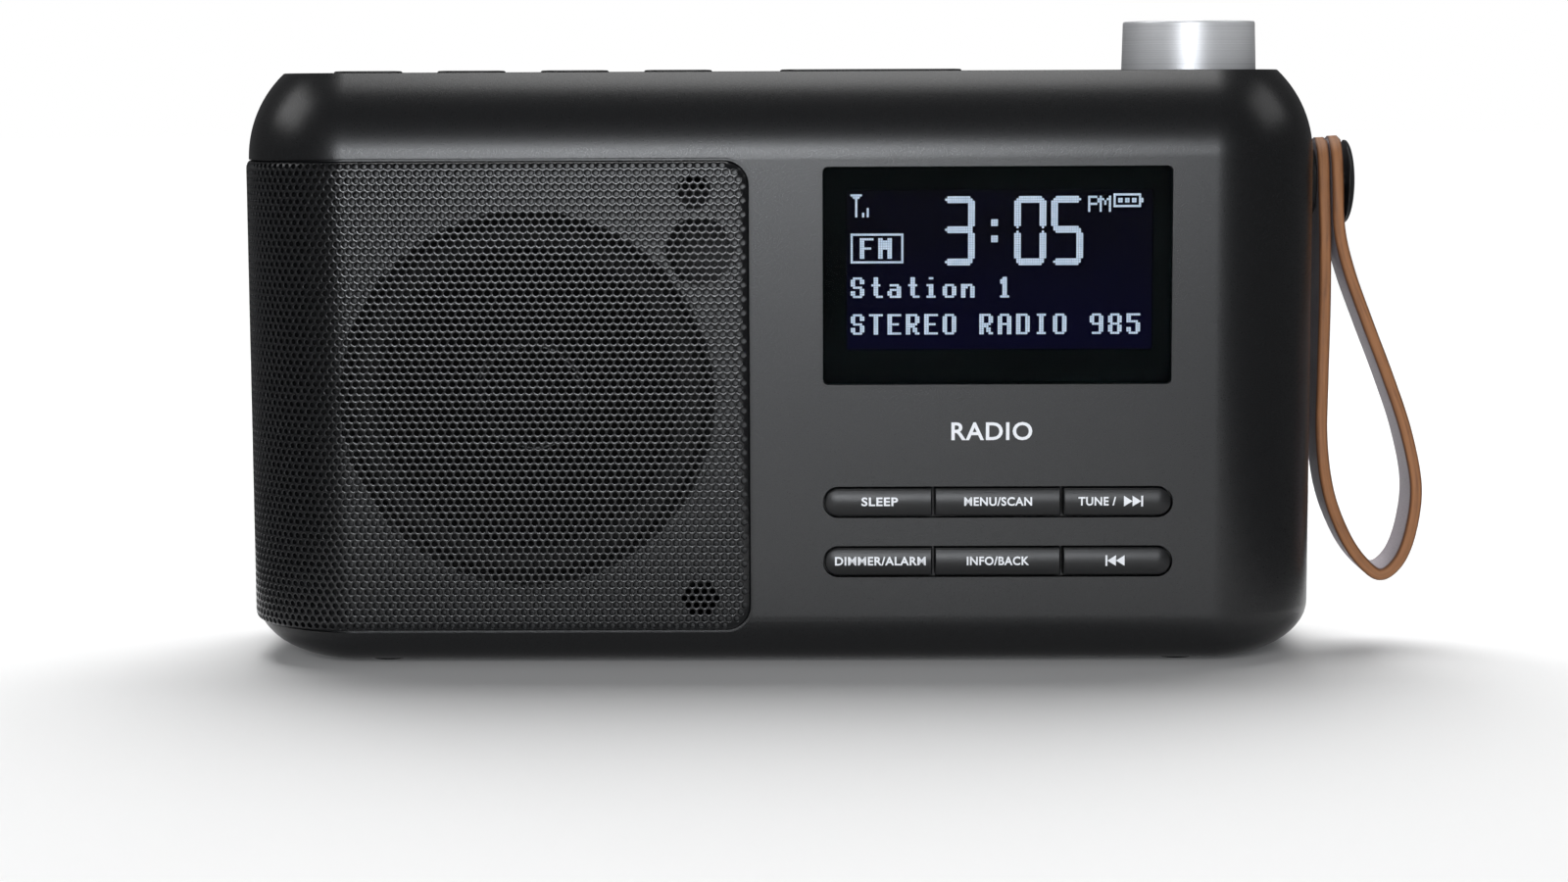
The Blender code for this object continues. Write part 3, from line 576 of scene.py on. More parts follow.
def front_case():
    shell = add("front_case", case_form(0), CASE)
    cutters = [cutter(box((-BEYOND, PART_Y, -BEYOND), (BEYOND,) * 3)), cutter(case_form(WALL, 6, 6)),
               cutter(grille_recess()),
               cutter(rod(SPEAKER_HOLE_R, *ACROSS_FRONT, 96), (SPEAKER[0], 0, SPEAKER[1]), FACE_BACK),
               cutter(plate(rounded(*WINDOW, (1.0 * MM,) * 4, 5), *ACROSS_FRONT))]
    cutters += [cutter(rod(radius, *ACROSS_FRONT), (x, 0, z), FACE_BACK)
                for radius, x, z in WALL_OPENINGS]
    half = KEY_ROW_H / 2
    cutters += [cutter(plate(rounded(*KEY_ROW_X, z - half, z + half, (half,) * 4, 12), *ACROSS_FRONT))
                for z in KEY_ROWS]
    half = TOP_BUTTON_D / 2 + SLACK
    for _, low, high in top_buttons():
        outline = rounded(low - SLACK, high + SLACK, TOP_ROW_Y - half, TOP_ROW_Y + half,
                          (half - 0.3 * MM,) * 4)
        cutters.append(cutter(slab(outline, *ACROSS_TOP)))
    knob_at = (KNOB_X, TOP_ROW_Y, 0)
    cutters += [cutter(rod(KNOB_STEM_R, *ACROSS_TOP), knob_at),
                cutter(rod(KNOB_POCKET_R, BODY_TOP - KNOB_POCKET, ACROSS_TOP[1], 96), knob_at),
                cutter(rod(STUD_HOLE_R, 90 * MM, 110 * MM), (0, 0, STUD_Z), FACE_RIGHT)]
    cutters += [foot_pocket(f"foot_front_{side}") for side in ("left", "right")]
    carve(shell, cutters)
    soften(shell, SHELL_EDGE)
    stand_for(shell, "case", "case_plastic", "front_shell")


def middle(name):
    """The middle of a CAD node's box, laid out from the case's middle, and its width in X."""
    low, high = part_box(name)
    return (low + high) / 2 - Vector((X0, 0, 0)), high.x - low.x


def foot_pocket(name):
    at, _ = middle(name)
    return cutter(rod(FOOT_POCKET_R, -4 * MM, FOOT_POCKET), (at.x, at.y, 0))


def rear_case():
    shell = add("rear_case", case_form(0), CASE)
    bosses = [(side * BOSS_X, 0, z) for side in (-1, 1) for z in BOSS_Z]
    cavity = cutter(case_form(WALL, 6, 6))
    step = cutter(box((-BEYOND, NOTCH_Y - NOTCH_WALL, NOTCH_Z - NOTCH_WALL), (BEYOND,) * 3))
    carve(cavity, [step] + [cutter(rod(BOSS_R, -60 * MM, 60 * MM), at, FACE_BACK) for at in bosses])
    low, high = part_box("battery_door")
    door = (low.x - X0 - GAP, high.x - X0 + GAP, low.z - GAP, high.z + GAP)
    cutters = [cutter(box((-BEYOND,) * 3, (BEYOND, PART_Y + GAP, BEYOND))), cavity,
               cutter(box((-BEYOND, NOTCH_Y, NOTCH_Z), (BEYOND,) * 3)),
               cutter(plate(rounded(*door, (3.0 * MM,) * 4, 8), 25.5 * MM, 35 * MM))]
    at, _ = middle("aerial_fork")
    cutters.append(cutter(rod(AERIAL_HOLE_R, 10 * MM, 30 * MM), (at.x, 0, at.z), FACE_BACK))
    for at in bosses:
        cutters.append(cutter(rod(SCREW_HOLE_R, 10 * MM, 21 * MM), at, FACE_BACK))
        cutters.append(cutter(rod(SCREW_WELL_R, 18 * MM, 40 * MM), at, FACE_BACK))
    for name in ("dc_socket", "headphone_socket"):
        at, width = middle(name)
        hole = rod(width / 2 + SOCKET_SLACK, 24 * MM, 35 * MM)
        cutters.append(cutter(hole, (at.x, 0, at.z), FACE_BACK))
    cutters += [foot_pocket(f"foot_rear_{side}") for side in ("left", "right")]
    carve(shell, cutters)
    soften(shell, SHELL_EDGE)
    stand_for(shell, "case", "case_plastic", "rear_shell")


# ---- the perforated grille ----
PITCH = 1.5 * MM
SHEET_THICK = 0.55 * MM
HOLE_EDGE = ((0.655 * MM, 0), (0.580 * MM, 0.025 * MM), (0.518 * MM, 0.09 * MM), (0.482 * MM, 0.22 * MM),
             (0.475 * MM, SHEET_THICK))
HOLE_SIDES = 12
EDGE_ROLL = 1.6 * MM
HEM = 0.02 * MM


def inside_by(run, z):
    """How far a point of the flat blank lies inside its outline (negative outside), and the way in."""
    half_run, half_z = GRILLE_RUN / 2, (GRILLE_Z[1] - GRILLE_Z[0]) / 2
    dx, dz = run - half_run, z - sum(GRILLE_Z) / 2
    qx, qz = abs(dx) - (half_run - GRILLE_CORNER), abs(dz) - (half_z - GRILLE_CORNER)
    sx, sz = math.copysign(1, dx), math.copysign(1, dz)
    if qx > 0 and qz > 0:
        reach = math.hypot(qx, qz)
        return GRILLE_CORNER - reach, (-sx * qx / reach, -sz * qz / reach)
    if qx > qz:
        return GRILLE_CORNER - qx, (-sx, 0)
    return GRILLE_CORNER - qz, (0, -sz)


def grille_vertex(bm, cache, run, z, depth):
    """A vertex at a place on the blank, depth below its face.

    Places outside are drawn in to the blank's edge, and the sheet rolls back near it."""
    key = (round(run * 1e6), round(z * 1e6), round(depth * 1e7))
    if key in cache:
        return cache[key]
    inside, way = inside_by(run, z)
    if inside < 0:
        run, z, inside = run - way[0] * inside, z - way[1] * inside, 0
    near = max(0.0, EDGE_ROLL - inside)
    sink = EDGE_ROLL - math.sqrt(EDGE_ROLL ** 2 - near ** 2) if near < EDGE_ROLL else EDGE_ROLL
    stand = GRILLE_PROUD - 0.6 * sink - depth
    if depth == SHEET_THICK and inside < HEM:
        stand = GAP - RECESS_DEPTH
    x, y = wrap_point(run, stand)
    place = (round(run * 1e6), round(z * 1e6), round(depth * 1e7), "drawn")
    if place not in cache:
        cache[place] = bm.verts.new((x, y, z))
    cache[key] = cache[place]
    return cache[key]


def grille_section(name, run_start, run_end):
    """One stretch of the perforated sheet: a hexagon of metal round each hole."""
    bm = bmesh.new()
    cache = {}
    rise = PITCH * math.sqrt(3) / 2
    rows = int((GRILLE_Z[1] - GRILLE_Z[0]) / rise) + 3
    first_z = sum(GRILLE_Z) / 2 - rise * (rows // 2)
    columns = int(GRILLE_RUN / PITCH) + 3
    corner_reach = PITCH / math.sqrt(3)
    turns = [2 * math.pi * j / HOLE_SIDES for j in range(HOLE_SIDES)]
    circle = [(math.cos(t), math.sin(t)) for t in turns]
    for row in range(rows):
        z = first_z + row * rise
        for column in range(-1, columns):
            run = (column + 0.25 + 0.5 * (row % 2)) * PITCH
            inside, _ = inside_by(run, z)
            if not run_start <= run < run_end or inside < -corner_reach:
                continue
            hexagon = [(run + corner_reach * math.cos(math.radians(30 + 60 * k)),
                        z + corner_reach * math.sin(math.radians(30 + 60 * k))) for k in range(6)]
            front = [grille_vertex(bm, cache, *p, 0) for p in hexagon]
            back = [grille_vertex(bm, cache, *p, SHEET_THICK) for p in hexagon]
            if inside < HOLE_EDGE[0][0] + 0.1 * MM:
                for loop in (front, back[::-1]):
                    unique = list(dict.fromkeys(loop))
                    if len(unique) > 2 and bm.faces.get(unique) is None:
                        bm.faces.new(unique)
                continue
            rings = [[grille_vertex(bm, cache, run + radius * x, z + radius * y, depth) for x, y in circle]
                     for radius, depth in HOLE_EDGE]
            for outer, inner, flip in ((front, rings[0], False), (back, rings[-1], True)):
                for k in range(6):
                    j = 1 + 2 * k
                    ahead = inner[(j + 1) % HOLE_SIDES]
                    for fan in ((outer[k], inner[j], inner[j - 1]), (outer[k], ahead, inner[j]),
                                (outer[k], outer[(k + 1) % 6], ahead)):
                        bm.faces.new(fan[::-1] if flip else fan)
            for upper, lower in zip(rings, rings[1:]):
                for j in range(HOLE_SIDES):
                    i = (j + 1) % HOLE_SIDES
                    bm.faces.new((upper[j], upper[i], lower[i], lower[j]))
    close_rim(bm, cache)
    piece = add(name, bm, GRILLE, smooth=75)
    walls = piece.data.attributes["wall"].data
    for face in piece.data.polygons:
        face.use_smooth = not walls[face.index].value
    stand_for(piece, "case", "grille_metal", "speaker_grille")


def close_rim(bm, cache):
    """Joins the front of the sheet to its back along the outer edge, and marks these faces as walls."""
    wall = bm.faces.layers.int.new("wall")
    stacks = {}
    for key, vert in cache.items():
        if len(key) == 4:
            stacks.setdefault(key[:2], {})[key[2]] = vert
    partner = {}
    for stack in stacks.values():
        if min(stack) == 0 and max(stack) == round(SHEET_THICK * 1e7):
            partner[stack[0]] = stack[max(stack)]
    for edge in [e for e in bm.edges if len(e.link_faces) == 1 and all(v in partner for v in e.verts)]:
        a, b = edge.verts
        if edge.link_loops[0].vert is a:
            a, b = b, a
        corners = list(dict.fromkeys((a, b, partner[b], partner[a])))
        if len(corners) > 2 and bm.faces.get(corners) is None:
            bm.faces.new(corners)[wall] = 1


def grille():
    """The sheet in stretches, so that no piece grows too heavy."""
    sections = 5
    across = GRILLE_RUN / PITCH
    for number in range(sections):
        start = number * across / sections if number else -1
        end = (number + 1) * across / sections if number < sections - 1 else across + 2
        grille_section(f"grille_section_{number + 1}", start * PITCH, end * PITCH)


# ---- display ----
# Each row of a letter is a number, whose five low bits are its dots.
GLYPHS = {
    "S": "0E 11 10 0E 01 11 0E", "T": "1F 04 04 04 04 04 04", "E": "1F 10 10 1E 10 10 1F",
    "R": "1E 11 11 1E 14 12 11", "O": "0E 11 11 11 11 11 0E", "M": "11 1B 15 15 11 11 11",
    "F": "1F 10 10 1E 10 10 10", "P": "1E 11 11 1E 10 10 10", "a": "00 00 0E 01 0F 11 0F",
    "t": "04 04 0E 04 04 04 03", "i": "04 00 0C 04 04 04 0E", "o": "00 00 0E 11 11 11 0E",
    "n": "00 00 16 19 11 11 11", "9": "0E 11 11 0F 01 01 0E", "8": "0E 11 11 0E 11 11 0E",
    "5": "1F 10 1E 01 01 11 0E", "1": "04 0C 04 04 04 04 0E", "A": "0E 11 11 1F 11 11 11",
    "D": "1E 11 11 11 11 11 1E", "I": "0E 04 04 04 04 04 0E", " ": "00 00 00 00 00 00 00",
}
DOTS_X, DOTS_Z = 128, 64
LCD_ACTIVE = (13.2 * MM, 67.9 * MM, 60.9 * MM, 88.3 * MM)
SURROUND_VIEW = (12.5 * MM, 69.1 * MM, 59.5 * MM, 89.0 * MM)
DOT_GAP = 0.02 * MM
DOT_STAND = 0.02 * MM
DOT_THICK = 0.01 * MM


def dots_of_display():
    """The lit dots, as a set of (column, row) from the top left: a clock, a signal mark and two lines."""
    lit = set()

    def block(x0, y0, x1, y1):
        lit.update((x, y) for x in range(x0, x1 + 1) for y in range(y0, y1 + 1))

    def frame_of(x0, y0, x1, y1):
        for line in ((x0, y0, x1, y0), (x0, y1, x1, y1), (x0, y0, x0, y1), (x1, y0, x1, y1)):
            block(*line)

    def write(text, x0, y0, advance=8, tall=True):
        """Letters 5 dots wide; the tall ones are 9 rows high and bold."""
        for place, letter in enumerate(text):
            rows = GLYPHS[letter].split()
            if tall:
                rows = [rows[0], rows[1], rows[1], rows[2], rows[3], rows[4], rows[5], rows[5], rows[6]]
            for y, row in enumerate(rows):
                for x, dot in enumerate(f"{int(row, 16):05b}"):
                    if dot == "1":
                        lit.update((x0 + place * advance + x + fat, y0 + y) for fat in range(1 + tall))

    def segment(x0, y0, length, upright):
        """One bar of a seven-segment digit, three dots thick, with pointed ends."""
        for across in range(3):
            trim = abs(across - 1)
            for along in range(trim, length - trim):
                lit.add((x0 + across, y0 + along) if upright else (x0 + along, y0 + across))

    def digit(x0, y0, bars):
        spans = {"a": (1, 0, 12, 0), "g": (1, 13, 12, 0), "d": (1, 27, 12, 0), "f": (0, 1, 13, 1),
                 "b": (11, 1, 13, 1), "e": (0, 15, 13, 1), "c": (11, 15, 13, 1)}
        for bar in bars:
            x, y, length, upright = spans[bar]
            segment(x0 + x, y0 + y, length, upright)

    for x, bars in ((40, "abgcd"), (71, "abcdef"), (87, "afgcd")):
        digit(x, 1, bars)
    block(61, 11, 63, 13)
    block(61, 18, 63, 20)
    block(0, 0, 4, 0)
    block(2, 0, 2, 9)
    block(1, 1, 3, 1)
    block(5, 8, 5, 9)
    block(7, 6, 7, 9)
    write("PM", 103, 1, 5, False)
    frame_of(114, 0, 125, 5)
    block(126, 2, 126, 3)
    for x in (116, 119, 122):
        block(x, 2, x + 1, 3)
    frame_of(0, 17, 22, 29)
    write("FM", 4, 19)
    write("Station 1", 0, 36)
    write("STEREO RADIO 985", 0, 52)
    return lit


def display():
    x0, x1, z0, z1 = LCD_ACTIVE
    step_x, step_z = (x1 - x0) / DOTS_X, (z1 - z0) / DOTS_Z
    glass_low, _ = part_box("lcd_glass")
    y = glass_low.y - DOT_STAND
    bm = bmesh.new()
    for column, row in sorted(dots_of_display()):
        left, top = x0 + column * step_x + DOT_GAP, z1 - row * step_z - DOT_GAP
        right, bottom = left + step_x - 2 * DOT_GAP, top - step_z + 2 * DOT_GAP
        corners = [(left, y, bottom), (right, y, bottom), (right, y, top), (left, y, top)]
        front = [bm.verts.new(c) for c in corners]
        back = [bm.verts.new((cx, y + DOT_THICK, cz)) for cx, _, cz in corners]
        bm.faces.new(front)
        bm.faces.new(back[::-1])
        for i in range(4):
            bm.faces.new((front[i], back[i], back[(i + 1) % 4], front[(i + 1) % 4]))
    look = Look("lit_dots", (0.02, 0.02, 0.03), 0.4)
    flicker = look.noise(900, 1.0)
    light = look.ramp(flicker, (0.42, 0.56, 0.70), (0.50, 0.62, 0.74))
    look.link(light, look.shader.inputs["Emission Color"])
    look.shader.inputs["Emission Strength"].default_value = 1.0
    stand_for(add("display_dots", bm, look.material, smooth=0), "case", "display_glass")

    x0, x1, z0, z1 = WINDOW
    outline = rounded(x0 + GAP, x1 - GAP, z0 + GAP, z1 - GAP, (0.8 * MM,) * 4, 5)
    pane = add("window_pane", plate(outline, FRONT + 0.8 * MM, FRONT + 2.2 * MM), None)
    soften(pane, 0.15 * MM)
    smoked = Look("window_gloss", (0.90, 0.90, 0.92), 0.02, Transmission_Weight=1.0, IOR=1.09)
    smoked.bump(smoked.noise(140, 2.0), 0.002 * MM, 0.2)
    pane.data.materials.append(smoked.material)
    stand_for(pane, "case", "window_gloss", "display_window")

    low, high = (corner - Vector((X0, 0, 0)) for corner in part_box("display_frame"))
    bezel = add("display_surround", box(low, high), None)
    carve(bezel, [cutter(plate(rounded(*SURROUND_VIEW, (0.4 * MM,) * 4, 3), *ACROSS_FRONT))])
    soften(bezel, 0.2 * MM)
    matt = moulded("surround_print", (0.0014, 0.0026, 0.0028), 0.60, grain=3000, depth=0.003 * MM,
                   Specular_IOR_Level=0.0)
    bezel.data.materials.append(matt)
    stand_for(bezel, "case", "inner_plastic", "display_frame")


# ---- keys ----
INK_THICK = 0.02 * MM
LABEL_CAP = 1.65 * MM
LABEL_BOLD = 0.060 * MM
KEY_HALF = KEY_ROW_H / 2 - SLACK
KEY_BACK = INNER_FRONT + 0.9 * MM
KEY_GAP = 0.2 * MM
KEY_SQUARE_R = 0.25 * MM
KEY_EDGE = 0.35 * MM


def dome(distance):
    """How far a key's face stands in front of the case, by the distance in from its edge."""
    if distance < KEY_EDGE:
        return -0.35 * MM + 0.45 * MM * math.sqrt(max(0.0, 1 - (1 - distance / KEY_EDGE) ** 2))
    rise = (distance - KEY_EDGE) / (KEY_HALF - KEY_EDGE)
    return 0.10 * MM + 0.30 * MM * (1 - (1 - min(rise, 1.0)) ** 2)


def front_keys():
    """Three keys to a row. An end key's outer end is round; the other ends are nearly square."""
    edges = [KEY_ROW_X[0] + SLACK, *KEY_SPLITS_X, KEY_ROW_X[1] - SLACK]
    insets = (0.02, 0.06, 0.12, 0.2, 0.3, 0.5, 0.8, 1.1, 1.5, 1.9, 2.3, 2.5)
    depths = [(0.0, KEY_BACK), (0.0, FRONT + 0.36 * MM)]
    depths += [(inset * MM, FRONT - dome(inset * MM)) for inset in insets]
    for z, names in KEY_ROWS.items():
        for slot, name in enumerate(names):
            first, last = slot == 0, slot == 2
            left = edges[slot] + (0 if first else KEY_GAP)
            right = edges[slot + 1] - (0 if last else KEY_GAP)
            rings = []
            for inset, y in depths:
                square = min(inset, KEY_SQUARE_R + inset * 0.02)
                x0, x1 = left + (inset if first else square), right - (inset if last else square)
                radii = [max((KEY_HALF - 0.1 * MM if at_end else KEY_SQUARE_R) - inset, 0.02 * MM)
                         for at_end in (last, first, first, last)]
                outline = rounded(x0, x1, z - KEY_HALF + inset, z + KEY_HALF - inset, radii, 8)
                rings.append([(x, y, pz) for x, pz in outline])
            cap = add(f"{name}_cap", loft(rings), KEY, smooth=50)
            stand_for(cap, name, "key_plastic", name)


def letters(text, width, height, embolden):
    """A bmesh of printed capitals in the XY plane, centred, with the given width and cap height."""
    curve = bpy.data.curves.new("letters", "FONT")
    curve.body = text
    curve.size = height * 1.4
    curve.offset = embolden
    curve.space_character = 1.08
    curve.resolution_u = 4
    font = put("letters", curve)
    graph = bpy.context.evaluated_depsgraph_get()
    mesh = bpy.data.meshes.new_from_object(font.evaluated_get(graph))
    bpy.data.objects.remove(font)
    bm = bmesh.new()
    bm.from_mesh(mesh)
    bpy.data.meshes.remove(mesh)
    xs, ys = [v.co.x for v in bm.verts], [v.co.y for v in bm.verts]
    middle = Vector(((min(xs) + max(xs)) / 2, (min(ys) + max(ys)) / 2, 0))
    bmesh.ops.translate(bm, vec=-middle, verts=bm.verts)
    grow = (width / (max(xs) - min(xs)), height / (max(ys) - min(ys)), 1)
    bmesh.ops.scale(bm, vec=grow, verts=bm.verts)
    return bm


def print_on_key(bm, x, z, name, body):
    """Lays flat ink shapes over a key's crown, a hair proud of it."""
    row = min(KEY_ROWS, key=lambda centre: abs(centre - z))
    for step in range(-10, 11):
        geometry = bm.verts[:] + bm.edges[:] + bm.faces[:]
        bmesh.ops.bisect_plane(bm, geom=geometry, plane_co=(0, step * 0.15 * MM, 0), plane_no=(0, 1, 0))
    for vert in bm.verts:
        place_z = z + vert.co.y
        vert.co = (x + vert.co.x, FRONT - dome(KEY_HALF - abs(place_z - row)) - INK_THICK, place_z)
    stand_for(add(name, bm, WHITE_INK, smooth=0), body, "key_plastic")


def skip_mark(x, z, name, body, sign):
    """Two triangles and a bar."""
    high = 1.0 * MM
    bm = bmesh.new()
    for start in (-1.75 * MM, -0.15 * MM):
        bm.faces.new([bm.verts.new((sign * px, pz, 0)) for px, pz in
                      ((start, -high), (start + 1.6 * MM, 0), (start, high))])
    bm.faces.new([bm.verts.new((sign * px, pz, 0)) for px, pz in
                  ((1.45 * MM, -high), (1.8 * MM, -high), (1.8 * MM, high), (1.45 * MM, high))])
    print_on_key(bm, x, z, name, body)


def labels():
    upper, lower = KEY_ROWS
    rise = 0.15 * MM
    for text, width, x, z, body in (("SLEEP", 6.8, 18.5, upper, "key_sleep"),
                                    ("MENU/SCAN", 12.6, 40.5, upper, "key_menu"),
                                    ("TUNE /", 7.0, 58.9, upper, "key_tune_up"),
                                    ("DIMMER/ALARM", 16.9, 18.6, lower, "key_dimmer"),
                                    ("INFO/BACK", 11.6, 40.5, lower, "key_info")):
        bm = letters(text, width * MM, LABEL_CAP, LABEL_BOLD)
        print_on_key(bm, x * MM, z + rise, "label_" + body.removeprefix("key_"), body)
    skip_mark(65.6 * MM, upper + rise, "label_next", "key_tune_up", 1)
    skip_mark(62.3 * MM, lower + rise, "label_previous", "key_tune_down", -1)
    bm = letters("RADIO", 15.0 * MM, 3.4 * MM, 0.08 * MM)
    for vert in bm.verts:
        vert.co = (39.3 * MM + vert.co.x, FRONT - INK_THICK, 44.5 * MM + vert.co.y)
    stand_for(add("label_front", bm, WHITE_INK, smooth=0), "case", "case_plastic")


# ---- top ----
def top_caps():
    """Each button stands a little proud of the top, with a rolled edge and a faint crown."""
    half = TOP_BUTTON_D / 2
    section = ((0, -3.5), (0, 0.1), (0.05, 0.25), (0.18, 0.36), (0.4, 0.41), (1.2, 0.44), (2.4, 0.45))
    for name, low, high in top_buttons():
        rings = []
        for inset, rise in ((inset * MM, rise * MM) for inset, rise in section):
            reach = half - inset
            outline = rounded(low + inset, high - inset, TOP_ROW_Y - reach, TOP_ROW_Y + reach,
                              (reach - 0.3 * MM,) * 4, 10)
            rings.append([(x, y, BODY_TOP + rise) for x, y in outline])
        stand_for(add(f"{name}_cap", loft(rings), KEY, smooth=50), name, "key_plastic", name)


def knob():
    """A turned cap: a flat dished face in a fine rim, a skirt that widens downwards, and a bored stem."""
    _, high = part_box("volume_knob")
    base, top = -0.3, (high.z - BODY_TOP) / MM - 0.6
    outer = [(0, top - 0.12), (11.2, top - 0.12), (11.5, top), (12.35, top), (12.5, top - 0.3),
             (12.75, base), (11.2, base)]
    inner = [(11.0, 7.6), (5.4, 7.6), (5.4, 3.6), (3.2, 3.6), (3.2, 8.4), (0, 8.4)]
    body = add("volume_knob_cap", lathe(eased(in_mm(outer), 0.12 * MM) + in_mm(inner), 128), KNOB,
               at=(KNOB_X, TOP_ROW_Y, BODY_TOP), smooth=50)
    stand_for(body, "volume", "knob_metal", "volume_knob")


# ---- wrist loop ----
LOOP_LINE = ((103.6, 98.1), (103.9, 89.6), (104.3, 79.0), (104.4, 66.0), (104.2, 52.0), (104.2, 40.0),
             (105.6, 30.0), (108.6, 22.0), (112.0, 16.7), (115.8, 13.8), (119.3, 16.3), (121.6, 22.2),
             (122.5, 31.0), (120.4, 41.5), (116.8, 52.0), (112.7, 62.5), (109.1, 72.2), (107.0, 80.6),
             (106.6, 89.6), (106.1, 98.4))


def smooth_line(points, steps):
    padded = [2 * points[0] - points[1], *points, 2 * points[-1] - points[-2]]
    line = []
    for before, start, end, after in zip(padded, padded[1:], padded[2:], padded[3:]):
        for step in range(steps):
            t = step / steps
            bend = 2 * before - 5 * start + 4 * end - after
            twist = 3 * start - before - 3 * end + after
            line.append(0.5 * (2 * start + (end - before) * t + bend * t ** 2 + twist * t ** 3))
    return line + [points[-1]]


def wrist_loop():
    """A strap swept along its line, round at both ends, then the stud that holds it and the spacer."""
    line = smooth_line([Vector((x * MM, z * MM)) for x, z in LOOP_LINE], 12)
    runs = [0.0]
    for a, b in zip(line, line[1:]):
        runs.append(runs[-1] + (b - a).length)
    half, end_r = STRAP_W / 2, 5.5 * MM
    rings, edges, lays = [], [], []
    section = rounded(-half, half, -STRAP_THICK / 2, STRAP_THICK / 2, (0.75 * MM,) * 4, 5)
    dense = []
    for i, (y, t) in enumerate(section):
        dense.append((y, t))
        ny, nt = section[(i + 1) % len(section)]
        if abs(ny - y) > 3 * MM:
            dense += [(y + (ny - y) * k / 12, t + (nt - t) * k / 12) for k in range(1, 12)]
    for i, point in enumerate(line):
        along = (line[min(i + 1, len(line) - 1)] - line[max(i - 1, 0)]).normalized()
        side = Vector((along.y, -along.x))
        from_end = min(runs[i], runs[-1] - runs[i])
        narrow = 1.0
        if from_end < end_r:
            narrow = 1 + (math.sqrt(max(0.0, end_r ** 2 - (end_r - from_end) ** 2)) - end_r) / half
        thin = 1.0 if from_end > 0.6 * MM else 0.72 + 0.28 * math.sqrt(from_end / (0.6 * MM))
        ring = []
        for y, t in dense:
            place = point + side * t * thin
            ring.append((place.x, y * narrow, place.y))
            flat = min(1.0, max(0.0, (abs(y) - (half - 0.9 * MM)) / (0.35 * MM)))
            edges.append(1.0 if from_end < 0.5 * MM else flat)
            lays.append((runs[i], y, t))
        rings.append(ring)
    piece = add("wrist_loop_strap", loft(rings), LEATHER, smooth=60)
    edge = piece.data.attributes.new("edge", "FLOAT", "POINT")
    edge.data.foreach_set("value", edges)
    lay = piece.data.attributes.new("lay", "FLOAT_VECTOR", "POINT")
    lay.data.foreach_set("vector", [c for triple in lays for c in triple])
    stand_for(piece, "wrist_loop", "strap_leather", "wrist_loop")

    arc = [math.pi / 2 * i / 14 for i in range(15)]
    stud = [(8.0 * math.sin(a), 7.55 + 1.65 * math.cos(a)) for a in arc]
    stud += [(8.0, 7.4), (2.2, 7.4), (2.2, -6.0), (0, -6.0)]
    washer = [(2.5, 1.5), (6.2, 1.5), (6.5, 1.2), (6.5, 0.3), (2.5, 0.3)]
    for name, bm, node in (("strap_stud_dome", lathe(in_mm(stud), 96), "strap_stud"),
                           ("strap_spacer", lathe(in_mm(washer), 64, True), "strap_washer")):
        piece = add(name, bm, STUD, at=(HALF_W, 0, STUD_Z), turn=FACE_RIGHT, smooth=50)
        stand_for(piece, "case", "case_plastic", node)


# ---- back ----
def battery_door():
    low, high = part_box("battery_door")
    outline = rounded(low.x - X0, high.x - X0, low.z, high.z, (2.7 * MM,) * 4, 8)
    door = add("battery_door_panel", plate(outline, low.y, high.y), CASE)
    ribs = []
    for i in range(6):
        z = high.z - 5 * MM - i * 1.6 * MM
        ribs.append(cutter(box((-9 * MM, high.y - 0.5 * MM, z), (9 * MM, high.y + 1 * MM, z + 0.8 * MM))))
    arrow = [(-3 * MM, high.z - 17.5 * MM), (0, high.z - 20.5 * MM), (3 * MM, high.z - 17.5 * MM)]
    ribs.append(cutter(plate(arrow, high.y - 0.4 * MM, high.y + 1 * MM)))
    carve(door, ribs)
    soften(door, 0.15 * MM)
    stand_for(door, "battery_door", "case_plastic", "battery_door")


def screws_and_feet():
    profile = [(0, 2.3), (1.9, 2.3), (2.7, 1.7), (2.7, 0.3), (1.3, 0.3), (1.3, -14.0), (0, -14.0)]
    for side, word in ((-1, "left"), (1, "right")):
        for z, level in zip(BOSS_Z, ("low", "high")):
            node = f"case_screw_{word}_{level}"
            screw = add(f"{node}_head", lathe(eased(in_mm(profile), 0.15 * MM), 40), STEEL,
                        at=(side * BOSS_X, 18 * MM, z), turn=FACE_BACK)
            slots = [cutter(box((-1.6 * MM, 19.4 * MM, -0.3 * MM), (1.6 * MM, 22 * MM, 0.3 * MM)),
                            (side * BOSS_X, 0, z), (0, turn * math.pi / 2, 0)) for turn in range(2)]
            carve(screw, slots)
            stand_for(screw, "case", "steel", node)
    profile = [(0, 2.2), (3.8, 2.2), (3.8, 0.5), (3.3, 0), (0, 0)]
    for node in ("foot_front_left", "foot_front_right", "foot_rear_left", "foot_rear_right"):
        at, _ = middle(node)
        foot = add(f"{node}_pad", lathe(eased(in_mm(profile), 0.2 * MM), 48), RUBBER, at=(at.x, at.y, 0))
        stand_for(foot, "case", "rubber", node)


